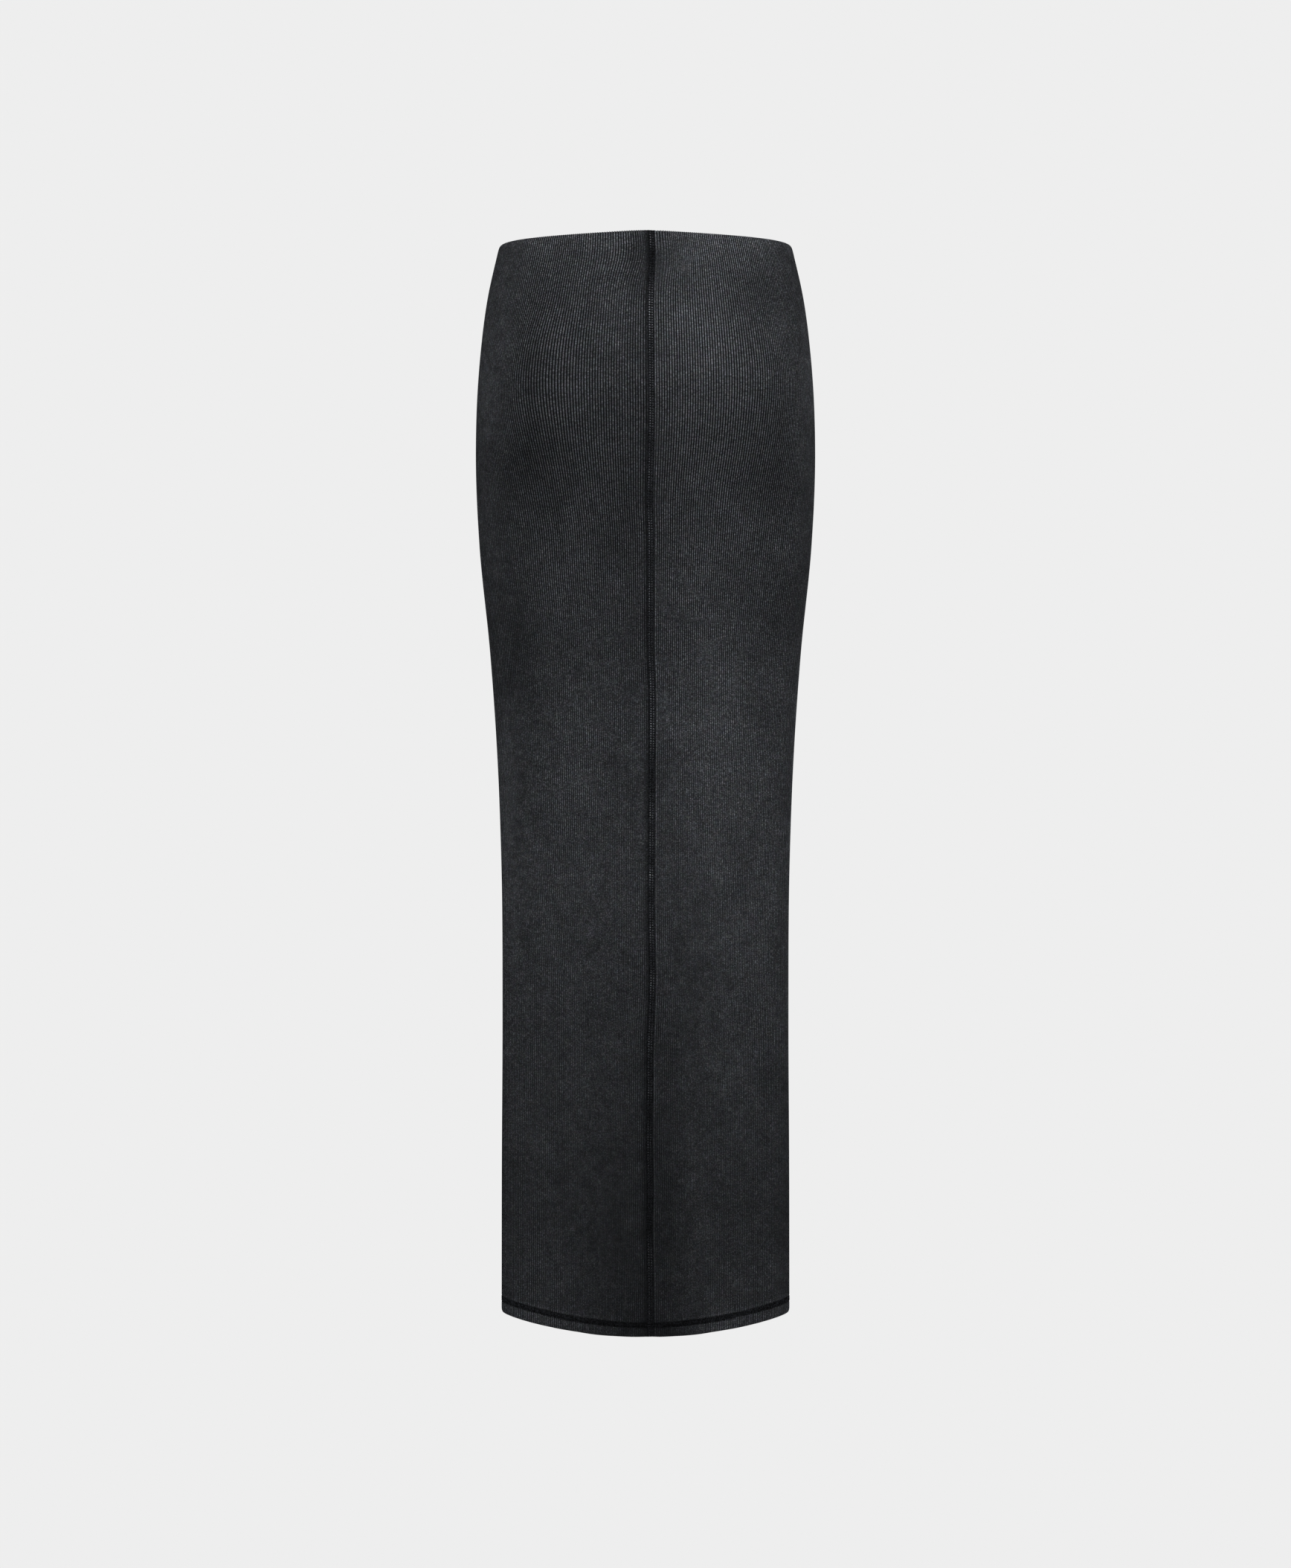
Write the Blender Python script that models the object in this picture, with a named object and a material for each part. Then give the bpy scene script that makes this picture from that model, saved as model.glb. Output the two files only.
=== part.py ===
"""Rib-knit maxi skirt: an open tube of three panels that stands filled out, as it does when it is worn.

The origin is the middle of the waist opening, +Z is up and the back of the skirt faces -Y. Sizes below are in
millimetres and MM turns them into Blender's metres. A drop is a distance below the waist edge.
"""

import math
from typing import NamedTuple

import bpy
import numpy as np

MM = 0.001

# Length and edges
LENGTH = 1024.0  # waist edge to hem, at the side seams
WAIST_DIP = 2.7  # the waist edge is lower towards the hips than at centre back and front
WAIST_DIP_PLACE = 0.8  # where it is lowest, as a share of the half width
WAIST_DIP_REACH = 256.0  # the cloth follows the waist's curve down to this drop
HEM_DIP_BACK = 22.0  # the hem hangs this much lower at centre back than at the sides
HEM_DIP_FRONT = 14.0
HEM_CURVE = 1.6  # power of the hem's curve from the centre to the side
HEM_DIP_REACH = 512.0  # the cloth follows the hem's curve from this far above it
EDGE_HEIGHT = 6.0  # the waist edge and the hem lean in over this height
EDGE_LEAN = 3.0

# Cloth
CLOTH = 1.0  # one layer of knit, under the rib grooves
RIB_RAISE = 0.5  # rib crest above its grooves
WAIST_TURNING = 25.0  # the top is turned in over its elastic
WAIST_LAYERS = 2.6
HEM_TURNING = 13.0
HEM_LAYERS = 2.1
TURNING_STEP = 1.5  # the cut edge of a turning tapers off over this height
RAW_EDGE = 1.6  # thickness of the folded edge at the waist and the hem

# Seams
SEAM_GAP = 0.3
SEAM_X = 5.0  # the centre-back seam hangs a little to the right of the middle
SEAM_SINK = 2.5  # the seam draws the cloth in
SEAM_SPREAD = 8.0

# Centre fold of the hanging part, front and back: a flat-bottomed trough with soft shoulders
FOLD_FLOOR = 28.0  # half the width of its floor
FOLD_REACH = 64.0  # half the width from shoulder to shoulder

# Ribs, the same number from waist to hem, so that they spread over the hips and close up below them
RIBS_BACK_RIGHT = 83
RIBS_BACK_LEFT = 87
RIBS_FRONT = 170
RIBS_PER_INNER_STEP = 4  # the plain inside has one column of points for this many ribs

# Steps of the mesh
MAIN_DROPS = (70.0, 150.0, 240.0, 350.0, 480.0, 620.0, 770.0)
OUTLINE_STEPS = 2880
DIRECTION_REACH = 2.0  # the outward direction is square to the outline over this far to each side
SHARP_ANGLE = 50.0  # degrees

# The cloth's finish: washed black
WASHED_BLACK = (0.033, 0.034, 0.037, 1.0)
CLOTH_ROUGHNESS = 0.92


class Section(NamedTuple):
    """The outer outline at one drop: half an oval at the back and half of another at the front."""

    drop: float
    half_width: float
    back: float  # from the side seams to the back
    front: float
    squareness: float  # 2 is an ellipse, more is squarer
    back_fold: float  # depth of the centre fold
    front_fold: float


SECTIONS = (
    #       drop  half_width  back  front  squareness  back_fold  front_fold
    Section(0.0, 140.2, 98.0, 88.0, 2.10, 0.0, 0.0),
    Section(50.0, 151.4, 106.0, 93.0, 2.10, 0.0, 0.0),
    Section(110.0, 158.9, 112.0, 97.0, 2.12, 0.0, 0.0),
    Section(200.0, 162.9, 101.0, 96.0, 2.15, 0.0, 0.0),
    Section(290.0, 159.4, 77.0, 88.0, 2.22, 0.0, 0.0),
    Section(390.0, 149.4, 57.0, 72.0, 2.30, 0.0, 0.0),
    Section(490.0, 142.4, 46.0, 58.0, 2.38, 0.5, 0.0),
    Section(600.0, 138.3, 40.0, 48.0, 2.44, 9.0, 2.0),
    Section(740.0, 137.3, 36.0, 41.0, 2.50, 15.5, 6.0),
    Section(880.0, 138.0, 35.0, 38.0, 2.50, 17.5, 9.0),
    Section(1024.0, 138.2, 35.0, 38.0, 2.50, 20.0, 12.0),
)


class Panel(NamedTuple):
    """One cut piece of the tube, from one seam to the next."""

    node: str
    ribs: int
    first_seam: str
    last_seam: str


PANELS = (
    Panel("back_right_panel", RIBS_BACK_RIGHT, "right_side", "centre_back"),
    Panel("back_left_panel", RIBS_BACK_LEFT, "centre_back", "left_side"),
    Panel("front_panel", RIBS_FRONT, "left_side", "closing"),
)


def clear_scene():
    for item in list(bpy.data.objects):
        bpy.data.objects.remove(item, do_unlink=True)


def section_at(drop):
    """The section at any drop, on a smooth curve through the rows of the table."""
    rows = np.array(SECTIONS)
    drops = rows[:, 0]
    slopes = np.gradient(rows, drops, axis=0)
    i = int(np.clip(np.searchsorted(drops, drop, side="right") - 1, 0, len(drops) - 2))
    span = drops[i + 1] - drops[i]
    t = (drop - drops[i]) / span
    value = (
        (2 * t**3 - 3 * t**2 + 1) * rows[i]
        + (t**3 - 2 * t**2 + t) * span * slopes[i]
        + (3 * t**2 - 2 * t**3) * rows[i + 1]
        + (t**3 - t**2) * span * slopes[i + 1]
    )
    return Section(*value)


def centre_fold(x, depth):
    """How far the centre fold draws the cloth in, at a distance x from the middle."""
    shoulder = np.clip((np.abs(x) - FOLD_FLOOR) / (FOLD_REACH - FOLD_FLOOR), 0.0, 1.0)
    return depth * 0.5 * (1.0 + np.cos(math.pi * shoulder))


class Outline:
    """The outer outline at one drop: from the right side seam round the back to the left, then the front."""

    def __init__(self, drop):
        self.drop = drop
        self.section = section_at(drop)
        turn = np.linspace(0.0, 2.0 * math.pi, OUTLINE_STEPS + 1)
        across, deep = np.cos(turn), np.sin(turn)
        power = 2.0 / self.section.squareness
        self.x = self.section.half_width * np.sign(across) * np.abs(across) ** power
        seam_sink = SEAM_SINK * np.exp(-(((self.x - SEAM_X) / SEAM_SPREAD) ** 2))
        roundness = np.abs(deep) ** power
        back_hollow = centre_fold(self.x, self.section.back_fold) + seam_sink
        front_hollow = centre_fold(self.x, self.section.front_fold)
        back = back_hollow - self.section.back * roundness
        front = self.section.front * roundness - front_hollow
        half = OUTLINE_STEPS // 2
        self.y = np.where(np.arange(OUTLINE_STEPS + 1) <= half, back, front)
        self.arc = np.concatenate(([0.0], np.cumsum(np.hypot(np.diff(self.x), np.diff(self.y)))))
        self.seams = {
            "right_side": 0.0,
            "centre_back": float(np.interp(-SEAM_X, -self.x[: half + 1], self.arc[: half + 1])),
            "left_side": float(self.arc[half]),
            "closing": float(self.arc[-1]),
        }

    def points(self, panel, count):
        """Evenly spaced points of one panel along the outline, and the outward direction at each."""
        start = self.seams[panel.first_seam] + SEAM_GAP / 2
        end = self.seams[panel.last_seam] - SEAM_GAP / 2
        arc = np.linspace(start, end, count)
        ahead, behind = self.place(arc + DIRECTION_REACH), self.place(arc - DIRECTION_REACH)
        along = (ahead - behind) / np.linalg.norm(ahead - behind, axis=1)[:, None]
        return self.place(arc), np.column_stack((-along[:, 1], along[:, 0]))

    def place(self, arc):
        arc = np.mod(arc, self.arc[-1])
        return np.column_stack((np.interp(arc, self.arc, self.x), np.interp(arc, self.arc, self.y)))

    def height(self, places):
        """The height of each place: the waist and the hem are curved, and so is the cloth near them."""
        across = np.clip(np.abs(places[:, 0]) / self.section.half_width, 0.0, 1.0)
        near_waist = max(0.0, 1.0 - self.drop / WAIST_DIP_REACH) ** 2
        near_hem = max(0.0, 1.0 - (LENGTH - self.drop) / HEM_DIP_REACH) ** 2
        waist_dip = WAIST_DIP * np.sin(0.5 * math.pi * across / WAIST_DIP_PLACE)
        hem_dip = np.where(places[:, 1] < 0.0, HEM_DIP_BACK, HEM_DIP_FRONT) * (1.0 - across**HEM_CURVE)
        return -(self.drop + near_waist * waist_dip + near_hem * hem_dip)


def edge_lean(drop):
    """How far the cloth leans in at the waist edge and at the hem."""
    from_edge = min(drop, LENGTH - drop)
    return EDGE_LEAN * max(0.0, 1.0 - from_edge / EDGE_HEIGHT)


def cloth_depth(drop):
    """The wall's thickness under the rib grooves: the turned-in waist and hem are double."""
    if drop in (0.0, LENGTH):
        return RAW_EDGE - RIB_RAISE
    if drop < WAIST_TURNING:
        return WAIST_LAYERS
    if drop > LENGTH - HEM_TURNING:
        return HEM_LAYERS
    return CLOTH


def outer_row(panel, drop):
    """Rib crests and grooves by turns, starting and ending on a groove at the seams."""
    outline = Outline(drop)
    places, outward = outline.points(panel, 2 * panel.ribs + 1)
    groove = np.arange(len(places)) % 2 == 0
    inset = edge_lean(drop) + RIB_RAISE * groove
    return np.column_stack((places - inset[:, None] * outward, outline.height(places)))


def inner_row(panel, drop):
    """The plain inside of the cloth."""
    outline = Outline(drop)
    places, outward = outline.points(panel, round(panel.ribs / RIBS_PER_INNER_STEP) + 1)
    inset = edge_lean(drop) + RIB_RAISE + cloth_depth(drop)
    return np.column_stack((places - inset * outward, outline.height(places)))


def flipped(faces):
    return [face[::-1] for face in faces]


def grid_faces(rows):
    """Four-sided faces between rows of vertex numbers, facing outwards on the outer wall."""
    return [
        (a, b, d, c)
        for upper, lower in zip(rows, rows[1:])
        for a, b, c, d in zip(upper, upper[1:], lower, lower[1:])
    ]


def strip_faces(first, second, first_at, second_at):
    """Triangles that close the strip between two lines of vertices, each at its own places from 0 to 1."""
    faces = []
    i = j = 0
    while i < len(first) - 1 or j < len(second) - 1:
        second_done = j == len(second) - 1
        if second_done or (i < len(first) - 1 and first_at[i + 1] <= second_at[j + 1]):
            faces.append((first[i], first[i + 1], second[j]))
            i += 1
        else:
            faces.append((first[i], second[j + 1], second[j]))
            j += 1
    return faces


def panel_mesh(panel):
    """The closed wall of one panel: ribbed outside, plain inside, and the four narrow sides between them."""
    top = (0.0, EDGE_HEIGHT)
    bottom = (LENGTH - EDGE_HEIGHT, LENGTH)
    waist_step = (WAIST_TURNING - TURNING_STEP / 2, WAIST_TURNING + TURNING_STEP / 2)
    hem_step = (LENGTH - HEM_TURNING - TURNING_STEP / 2, LENGTH - HEM_TURNING + TURNING_STEP / 2)
    outer_drops = top + MAIN_DROPS + bottom
    inner_drops = top + waist_step + MAIN_DROPS + hem_step + bottom

    points, outer, inner = [], [], []
    for rows, drops, row_points in ((outer, outer_drops, outer_row), (inner, inner_drops, inner_row)):
        for drop in drops:
            row = row_points(panel, drop)
            rows.append(list(range(len(points), len(points) + len(row))))
            points.extend(row * MM)

    outer_across = np.linspace(0.0, 1.0, len(outer[0]))
    inner_across = np.linspace(0.0, 1.0, len(inner[0]))
    outer_down = np.array(outer_drops) / LENGTH
    inner_down = np.array(inner_drops) / LENGTH
    waist_edge, hem_edge = (
        strip_faces(outer[edge], inner[edge], outer_across, inner_across) for edge in (0, -1)
    )
    first_side, last_side = (
        strip_faces([row[edge] for row in outer], [row[edge] for row in inner], outer_down, inner_down)
        for edge in (0, -1)
    )
    faces = grid_faces(outer) + flipped(grid_faces(inner))
    faces += flipped(waist_edge) + hem_edge + first_side + flipped(last_side)

    mesh = bpy.data.meshes.new(panel.node)
    mesh.from_pydata([tuple(point) for point in points], [], faces)
    return mesh


def knit_material(node):
    material = bpy.data.materials.new(f"{node}_rib_knit")
    material.use_nodes = True
    surface = material.node_tree.nodes["Principled BSDF"]
    surface.inputs["Base Color"].default_value = WASHED_BLACK
    surface.inputs["Roughness"].default_value = CLOTH_ROUGHNESS
    surface.inputs["Metallic"].default_value = 0.0
    return material


def make_panel(panel, waist):
    mesh = panel_mesh(panel)
    mesh.materials.append(knit_material(panel.node))
    item = bpy.data.objects.new(panel.node, mesh)
    bpy.context.collection.objects.link(item)
    item.parent = waist
    mesh.shade_smooth()
    mesh.set_sharp_from_angle(angle=math.radians(SHARP_ANGLE))
    return item


def main():
    clear_scene()
    waist = bpy.data.objects.new("waist", None)
    bpy.context.collection.objects.link(waist)
    for panel in PANELS:
        make_panel(panel, waist)


main()
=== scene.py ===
"""Finish of the rib-knit maxi skirt: three panels of washed black rib knit with rolled edges, the flat seam
that joins two of them down the centre back, and the cover stitch that holds the hem.

The file is laid out as an add-on and is run as a script. Sizes in the tables are in millimetres and MM turns
them into metres. A drop is a distance below the waist edge, x counts to the right of the middle with the back
in front of the eye, and "across" is a distance along the cloth to the right of the centre-back seam or, on
the front panel, of its middle.
"""

import math
from typing import NamedTuple

import bpy
import numpy as np
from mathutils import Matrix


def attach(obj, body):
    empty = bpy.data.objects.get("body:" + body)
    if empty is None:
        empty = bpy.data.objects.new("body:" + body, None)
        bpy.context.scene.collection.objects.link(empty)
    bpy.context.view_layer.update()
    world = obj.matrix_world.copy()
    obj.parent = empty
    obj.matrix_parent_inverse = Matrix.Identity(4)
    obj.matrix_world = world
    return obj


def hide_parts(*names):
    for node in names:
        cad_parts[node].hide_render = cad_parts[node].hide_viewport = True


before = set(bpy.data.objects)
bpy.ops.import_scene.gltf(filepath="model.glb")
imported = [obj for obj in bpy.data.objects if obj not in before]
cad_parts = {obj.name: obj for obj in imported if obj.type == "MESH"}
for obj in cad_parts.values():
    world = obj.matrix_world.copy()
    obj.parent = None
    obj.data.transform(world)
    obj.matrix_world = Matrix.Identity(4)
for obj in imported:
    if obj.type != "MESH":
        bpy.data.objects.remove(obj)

bl_info = {
    "name": "Rib-knit maxi skirt",
    "version": (1, 0, 0),
    "blender": (4, 5, 0),
    "location": "View3D > Sidebar > Skirt",
    "description": "Knits and sews a long washed black rib skirt around its packed solids",
    "category": "Object",
}

MM = 0.001
BODY = "root"
KNIT_MAP = "knit"
BAKE_MAP = "OFBake"  # the export bakes through a map of this name, here each panel laid flat

# ---- The form, as the solids have it ----

LENGTH = 1024.0  # waist edge to hem, at the side seams
WAIST_DIP = 3.1
WAIST_DIP_PLACE = 0.8
WAIST_DIP_REACH = 256.0
HEM_DIP_BACK = 19.2
HEM_DIP_FRONT = 14.0
HEM_CURVE = 2.0
HEM_DIP_REACH = 512.0
HEM_FOLD_DIP = 0.16  # a centre fold that draws the hem in also lowers it, by this share of the fold's depth
FOLD_FLOOR = 28.0
FOLD_REACH = 64.0
OUTLINE_STEPS = 2400
DIRECTION_REACH = 2.0  # the outward direction is square to the outline over this far to each side
EDGE_HEIGHT = 5.0  # the filled-out cloth rounds in over this height towards its waist edge and its hem ...
EDGE_LEAN = 2.6  # ... by this much
EDGE_STRETCH = 1.1  # the pressed edges stand this much beyond the solids' edges
EDGE_STRETCH_REACH = 40.0


class Section(NamedTuple):
    """The outer outline at one drop: half an oval at the back and half of another at the front."""

    drop: float
    half_width: float
    back: float  # from the side seams to the back
    front: float
    squareness: float  # 2 is an ellipse, more is squarer
    back_fold: float  # depth of the centre fold
    front_fold: float


SECTIONS = (
    (0, 140.2, 98, 88, 2.1, 0, 0),
    (50, 151.4, 106, 93, 2.1, 0, 0),
    (110, 158.9, 112, 97, 2.12, 0, 0),
    (200, 162.9, 101, 96, 2.15, 0, 0),
    (290, 159.4, 77, 88, 2.22, 0, 0),
    (390, 149.4, 57, 72, 2.3, 0, 0),
    (490, 142.4, 46, 58, 2.38, 0.5, 0),
    (600, 138.3, 40, 48, 2.44, 9, 2),
    (740, 137.3, 36, 41, 2.5, 15.5, 6),
    (880, 138, 35, 38, 2.5, 17.5, 9),
    (1024, 138.2, 35, 38, 2.5, 20, 12),
)
# Where the centre-back seam hangs: drop, x
SEAM_LINE = (
    (0, 5.5), (28, 6.3), (45, 5.4), (65, 5), (90, 5.1), (130, 5.4), (175, 5.7), (210, 5),
    (262, 4.2), (280, 4.8), (310, 4.8), (345, 4.9), (390, 4.9), (430, 6.3), (465, 6.4), (500, 6),
    (570, 5.7), (650, 5.7), (705, 6.5), (735, 5.4), (762, 4.4), (800, 4.2), (858, 3.7), (892, 4.5),
    (930, 3.8), (955, 4.4), (985, 4.8), (1024, 5),
)


class Panel(NamedTuple):
    """One cut piece of the tube, from one seam to the next."""

    piece: str
    node: str
    ribs: int
    first_rib: int  # the panels count their ribs on from here, so that no two fade alike
    seams: tuple
    row_step: float  # between rows of points down the outer face
    inner_row_step: float
    cut: tuple  # flat width and length of the cut piece, in metres


BACK_RIGHT = Panel(
    "back_right_knit", "back_right_panel", 86, 0, ("right_side", "centre_back"), 4.75, 30.0, (0.157, 1.09)
)
BACK_LEFT = Panel(
    "back_left_knit", "back_left_panel", 88, 100, ("centre_back", "left_side"), 4.95, 30.0, (0.165, 1.09)
)
FRONT = Panel("front_knit", "front_panel", 174, 200, ("left_side", "closing"), 12.5, 50.0, (0.316, 1.085))
COLUMNS_PER_RIB = 4

# ---- Folds, fades and puckers, listed one by one ----

# Soft ridges, or troughs where the height is below zero, that run down the cloth:
# x at the top, x at the bottom, top, bottom, half width, height
BACK_FOLDS = (
    (58, 66, 130, 330, 8, -1), (78, 82, 150, 340, 7, 0.9), (98, 92, 240, 470, 9, -0.9),
    (-96, -78, 180, 420, 12, -1.1), (-66, -58, 260, 520, 10, 0.8), (60, 70, 470, 860, 11, 1.5),
    (104, 98, 560, 960, 9, -1.2), (-52, -60, 560, 900, 12, 1), (-88, -84, 480, 760, 10, -1),
    (86, 90, 900, 1060, 6, 1), (-98, -92, 900, 1060, 6, -1), (-112, -118, 700, 1000, 8, 0.9),
)
FRONT_FOLDS = (
    (-62, -70, 150, 380, 10, -1.1), (-88, -80, 230, 470, 9, 0.9), (70, 60, 170, 420, 11, -1),
    (102, 94, 300, 560, 9, 0.9), (-64, -58, 520, 880, 12, 1.4), (-104, -98, 600, 980, 9, -1.2),
    (58, 66, 560, 930, 11, 1.3), (96, 92, 500, 800, 9, -1), (16, 8, 60, 240, 12, -0.8),
    (90, 96, 900, 1050, 6, 1),
)
# Soft patches, lighter or, below zero, darker than the rest: partly fading that the wash has left, and partly
# painted light and shade of the form, such as painted shade down the hollow at the lower centre:
# x, drop, half width, half height, tone
BACK_FADES_AND_SHADING = (
    (40, 84, 44, 82, 0.3), (-42, 60, 40, 60, 0.1), (-117, 210, 40, 52, -0.18),
    (-126, 385, 26, 72, -0.22), (120, 217, 26, 62, -0.22), (116, 53, 30, 26, -0.16),
    (110, 350, 34, 46, -0.18), (66, 455, 44, 96, 0.24), (-72, 440, 32, 34, 0.18),
    (-72, 518, 34, 26, 0.12), (70, 655, 26, 170, 0.16), (3, 760, 34, 170, -0.16),
    (0, 950, 42, 110, -0.24), (121, 800, 12, 18, -0.2), (118, 455, 15, 15, -0.22),
    (-100, 640, 30, 60, -0.08), (72, 18, 38, 28, 0.26), (82, 110, 26, 40, 0.22),
    (-112, 112, 18, 60, -0.22), (-112, 225, 28, 40, -0.22), (-10, 100, 13, 120, -0.12),
    (-118, 395, 20, 50, -0.14), (130, 355, 14, 34, -0.15), (112, 700, 14, 80, 0.14),
    (18, 880, 18, 130, -0.16), (46, 950, 13, 100, 0.24), (78, 1030, 18, 30, 0.4),
    (-105, 990, 20, 40, 0.12), (60, 300, 56, 170, 0.14), (-25, 270, 30, 90, -0.15),
    (-160, 190, 15, 160, 0.6), (160, 190, 13, 130, 0.32), (2, 1026, 46, 24, -0.3),
    (-8, 16, 12, 34, -0.34), (24, 4, 24, 12, -0.18), (-20, 10, 14, 14, 0.24),
    (-40, 222, 16, 20, 0.2), (-8, 370, 12, 60, -0.12), (15, 280, 12, 18, -0.15),
    (-52, 520, 14, 18, 0.16), (-10, 520, 10, 22, -0.15), (60, 193, 14, 20, -0.15),
    (92, 222, 24, 16, -0.14), (143, 335, 14, 24, -0.16), (-105, 700, 14, 24, -0.15),
    (28, 1030, 10, 14, -0.2), (-68, 1030, 12, 14, 0.2), (76, 1032, 8, 12, 0.2),
    (58, 400, 24, 60, 0.12), (70, 455, 40, 60, 0.06), (-136, 500, 12, 70, 0.25),
    (-122, 640, 14, 50, 0.15), (-15, 970, 22, 30, -0.12), (55, 660, 40, 60, 0.05),
    (-55, 660, 40, 60, 0.03), (-66, 130, 74, 120, -0.1), (-60, 400, 74, 130, -0.08),
    (-133, 600, 8, 110, 0.22), (-140, 60, 12, 40, 0.2), (150, 130, 10, 40, 0.15),
    (75, 250, 16, 24, 0.13), (120, 430, 14, 20, 0.15), (-40, 345, 18, 20, 0.1),
    (-40, 970, 26, 24, -0.12), (75, 1000, 14, 20, 0.12), (-10, 80, 12, 60, -0.08),
    (-78, 985, 26, 40, 0.08), (120, 995, 22, 40, 0.2), (-80, 250, 16, 16, -0.18),
    (-75, 312, 12, 12, 0.12), (-75, 400, 14, 16, -0.15), (-110, 510, 16, 50, -0.14),
    (45, 540, 14, 60, 0.12), (132, 530, 10, 26, -0.2), (128, 735, 12, 26, 0.18),
    (90, 790, 26, 50, 0.1), (-118, 790, 14, 16, -0.14), (-150, 140, 8, 30, 0.2),
    (110, 10, 10, 12, 0.15), (-98, 12, 14, 10, 0.14), (-98, 55, 14, 20, -0.15),
)
FRONT_FADES_AND_SHADING = (
    (-48, 90, 46, 80, 0.22), (44, 120, 44, 70, 0.16), (112, 240, 34, 60, -0.18),
    (-118, 260, 28, 70, -0.2), (-60, 470, 44, 90, 0.22), (74, 500, 34, 50, 0.16),
    (-104, 390, 30, 44, -0.16), (0, 780, 36, 160, -0.14), (4, 950, 44, 110, -0.2),
    (66, 700, 28, 150, 0.12),
)
# Patches where the ribs show more clearly or, below zero, have merged in the wash
BACK_CLEARNESS = (
    (-121, 560, 17, 225, -0.95), (-94, 480, 14, 150, -0.12), (-69, 600, 13, 55, -0.25),
    (-44, 410, 15, 40, -0.3), (-45, 655, 14, 70, -0.8), (-30, 82, 26, 62, -0.2),
    (30, 22, 20, 20, -0.35), (117, 70, 22, 28, -0.4), (-47, 22, 16, 18, -0.12),
    (114, 425, 20, 110, -0.32), (-45, 920, 20, 140, -0.75), (-17, 482, 15, 66, -0.55),
    (36, 660, 13, 120, -0.45), (60, 740, 16, 110, -0.75), (42, 940, 18, 80, -0.55),
    (100, 740, 24, 110, 0.35), (-80, 905, 28, 60, -0.35), (-118, 900, 20, 140, 0.25),
    (-88, 430, 36, 60, -0.22), (-105, 995, 36, 50, 0.5), (100, 995, 34, 50, 0.55),
)
FRONT_CLEARNESS = (
    (118, 600, 18, 160, -0.7), (48, 780, 16, 200, -0.55), (-44, 700, 15, 130, -0.5),
    (-58, 900, 18, 110, -0.6), (-100, 760, 24, 110, 0.3),
)
# Patches where the wash has raised more fibres or, below zero, fewer
BACK_FLUFF = (
    (52, 110, 42, 100, -0.25), (-140, 225, 24, 36, 0.3), (-45, 910, 46, 66, -0.2),
    (-20, 920, 22, 50, -0.25), (48, 690, 26, 90, -0.18),
)
# Patches where the ribs of the back are pulled to the right or, below zero, to the left:
# across, drop, half width, half height, pull
SHIFTS = (
    (-135, 148, 45, 42, -6.5), (140, 135, 45, 40, 3), (-125, 130, 40, 65, -6),
    (120, 125, 40, 72, 3.6), (-20, -12, 38, 20, 3.5), (-20, 20, 38, 25, 6.8), (-100, 0, 30, 45, 3),
    (-112, 95, 30, 30, -2), (72, 0, 40, 40, -1.5), (16, 36, 14, 16, 0.8), (-20, 820, 18, 260, -2),
    (-90, 820, 26, 230, 1.4), (20, 820, 18, 260, 1.8), (96, 820, 26, 230, -1.4),
    (-102, 560, 28, 120, -3.4),
)
# How the wash has left the cloth down its length: drop, tone of the ribs (their fading, with painted light
# and shade: lighter at the top, darker below the seat and towards the hem), clarity (1 where crests and
# grooves are told apart, 0 where they are one tone), fluff (1 is the usual amount of pale flecks of raised
# fibre)
WEAR_AND_PAINTED_LIGHT = (
    (0, 1.36, 0.94, 1), (16, 1.1, 0.94, 1), (40, 1.04, 0.94, 1), (100, 1.05, 0.96, 1),
    (140, 0.97, 0.98, 0.95), (190, 0.8, 1, 0.9), (225, 0.75, 1, 0.9), (280, 0.8, 0.98, 1),
    (340, 0.81, 0.9, 1), (400, 0.79, 0.78, 1.05), (460, 0.88, 0.68, 1.05), (550, 0.92, 0.56, 1),
    (610, 0.95, 0.49, 0.92), (700, 0.8, 0.44, 0.92), (780, 0.72, 0.4, 0.85), (850, 0.66, 0.36, 0.8),
    (920, 0.58, 0.33, 0.8), (1000, 0.54, 0.35, 0.85), (1024, 0.47, 0.42, 0.9),
)
# How far the knit's stretch has moved the ribs outwards from the centre-back seam: drop, left, right
DRIFT = (
    (0, -4.2, -4.4), (30, -5, -4), (66, -5.8, -2.9), (108, -2.8, -2), (150, -1.4, -1.2),
    (192, -1.8, -2), (235, -6, -5.6), (268, -7.9, -6.4), (325, -6.4, -5.8), (385, -5.2, -3.8),
    (450, -3, -0.8), (520, -3.4, 0.8), (1024, -1.5, 0.5),
)
# Stretches of the centre-back seam that are pulled in and press the ribs beside them:
# drop, half length, depth, pressed (1 is flat)
PUCKERS = (
    (24, 3, 1, 0),  # the knot where the turned-in waist ends
    (8, 10, 0.4, 0.9),
    (26, 11, 1.3, 1),
    (44, 12, 0.6, 0.8),
    (118, 16, 0.3, 0.3),
    (198, 15, 0.5, 0.4),
    (249, 9, 0.5, 0.4),
    (312, 14, 0.3, 0.3),
    (388, 20, 0.3, 0.2),
    (508, 17, 0.9, 0.5),
    (592, 9, 0.5, 0.3),
    (628, 9, 0.8, 0.5),
    (700, 18, 0.3, 0.2),
    (832, 14, 0.7, 0.4),
    (928, 14, 0.6, 0.3),
)
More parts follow.
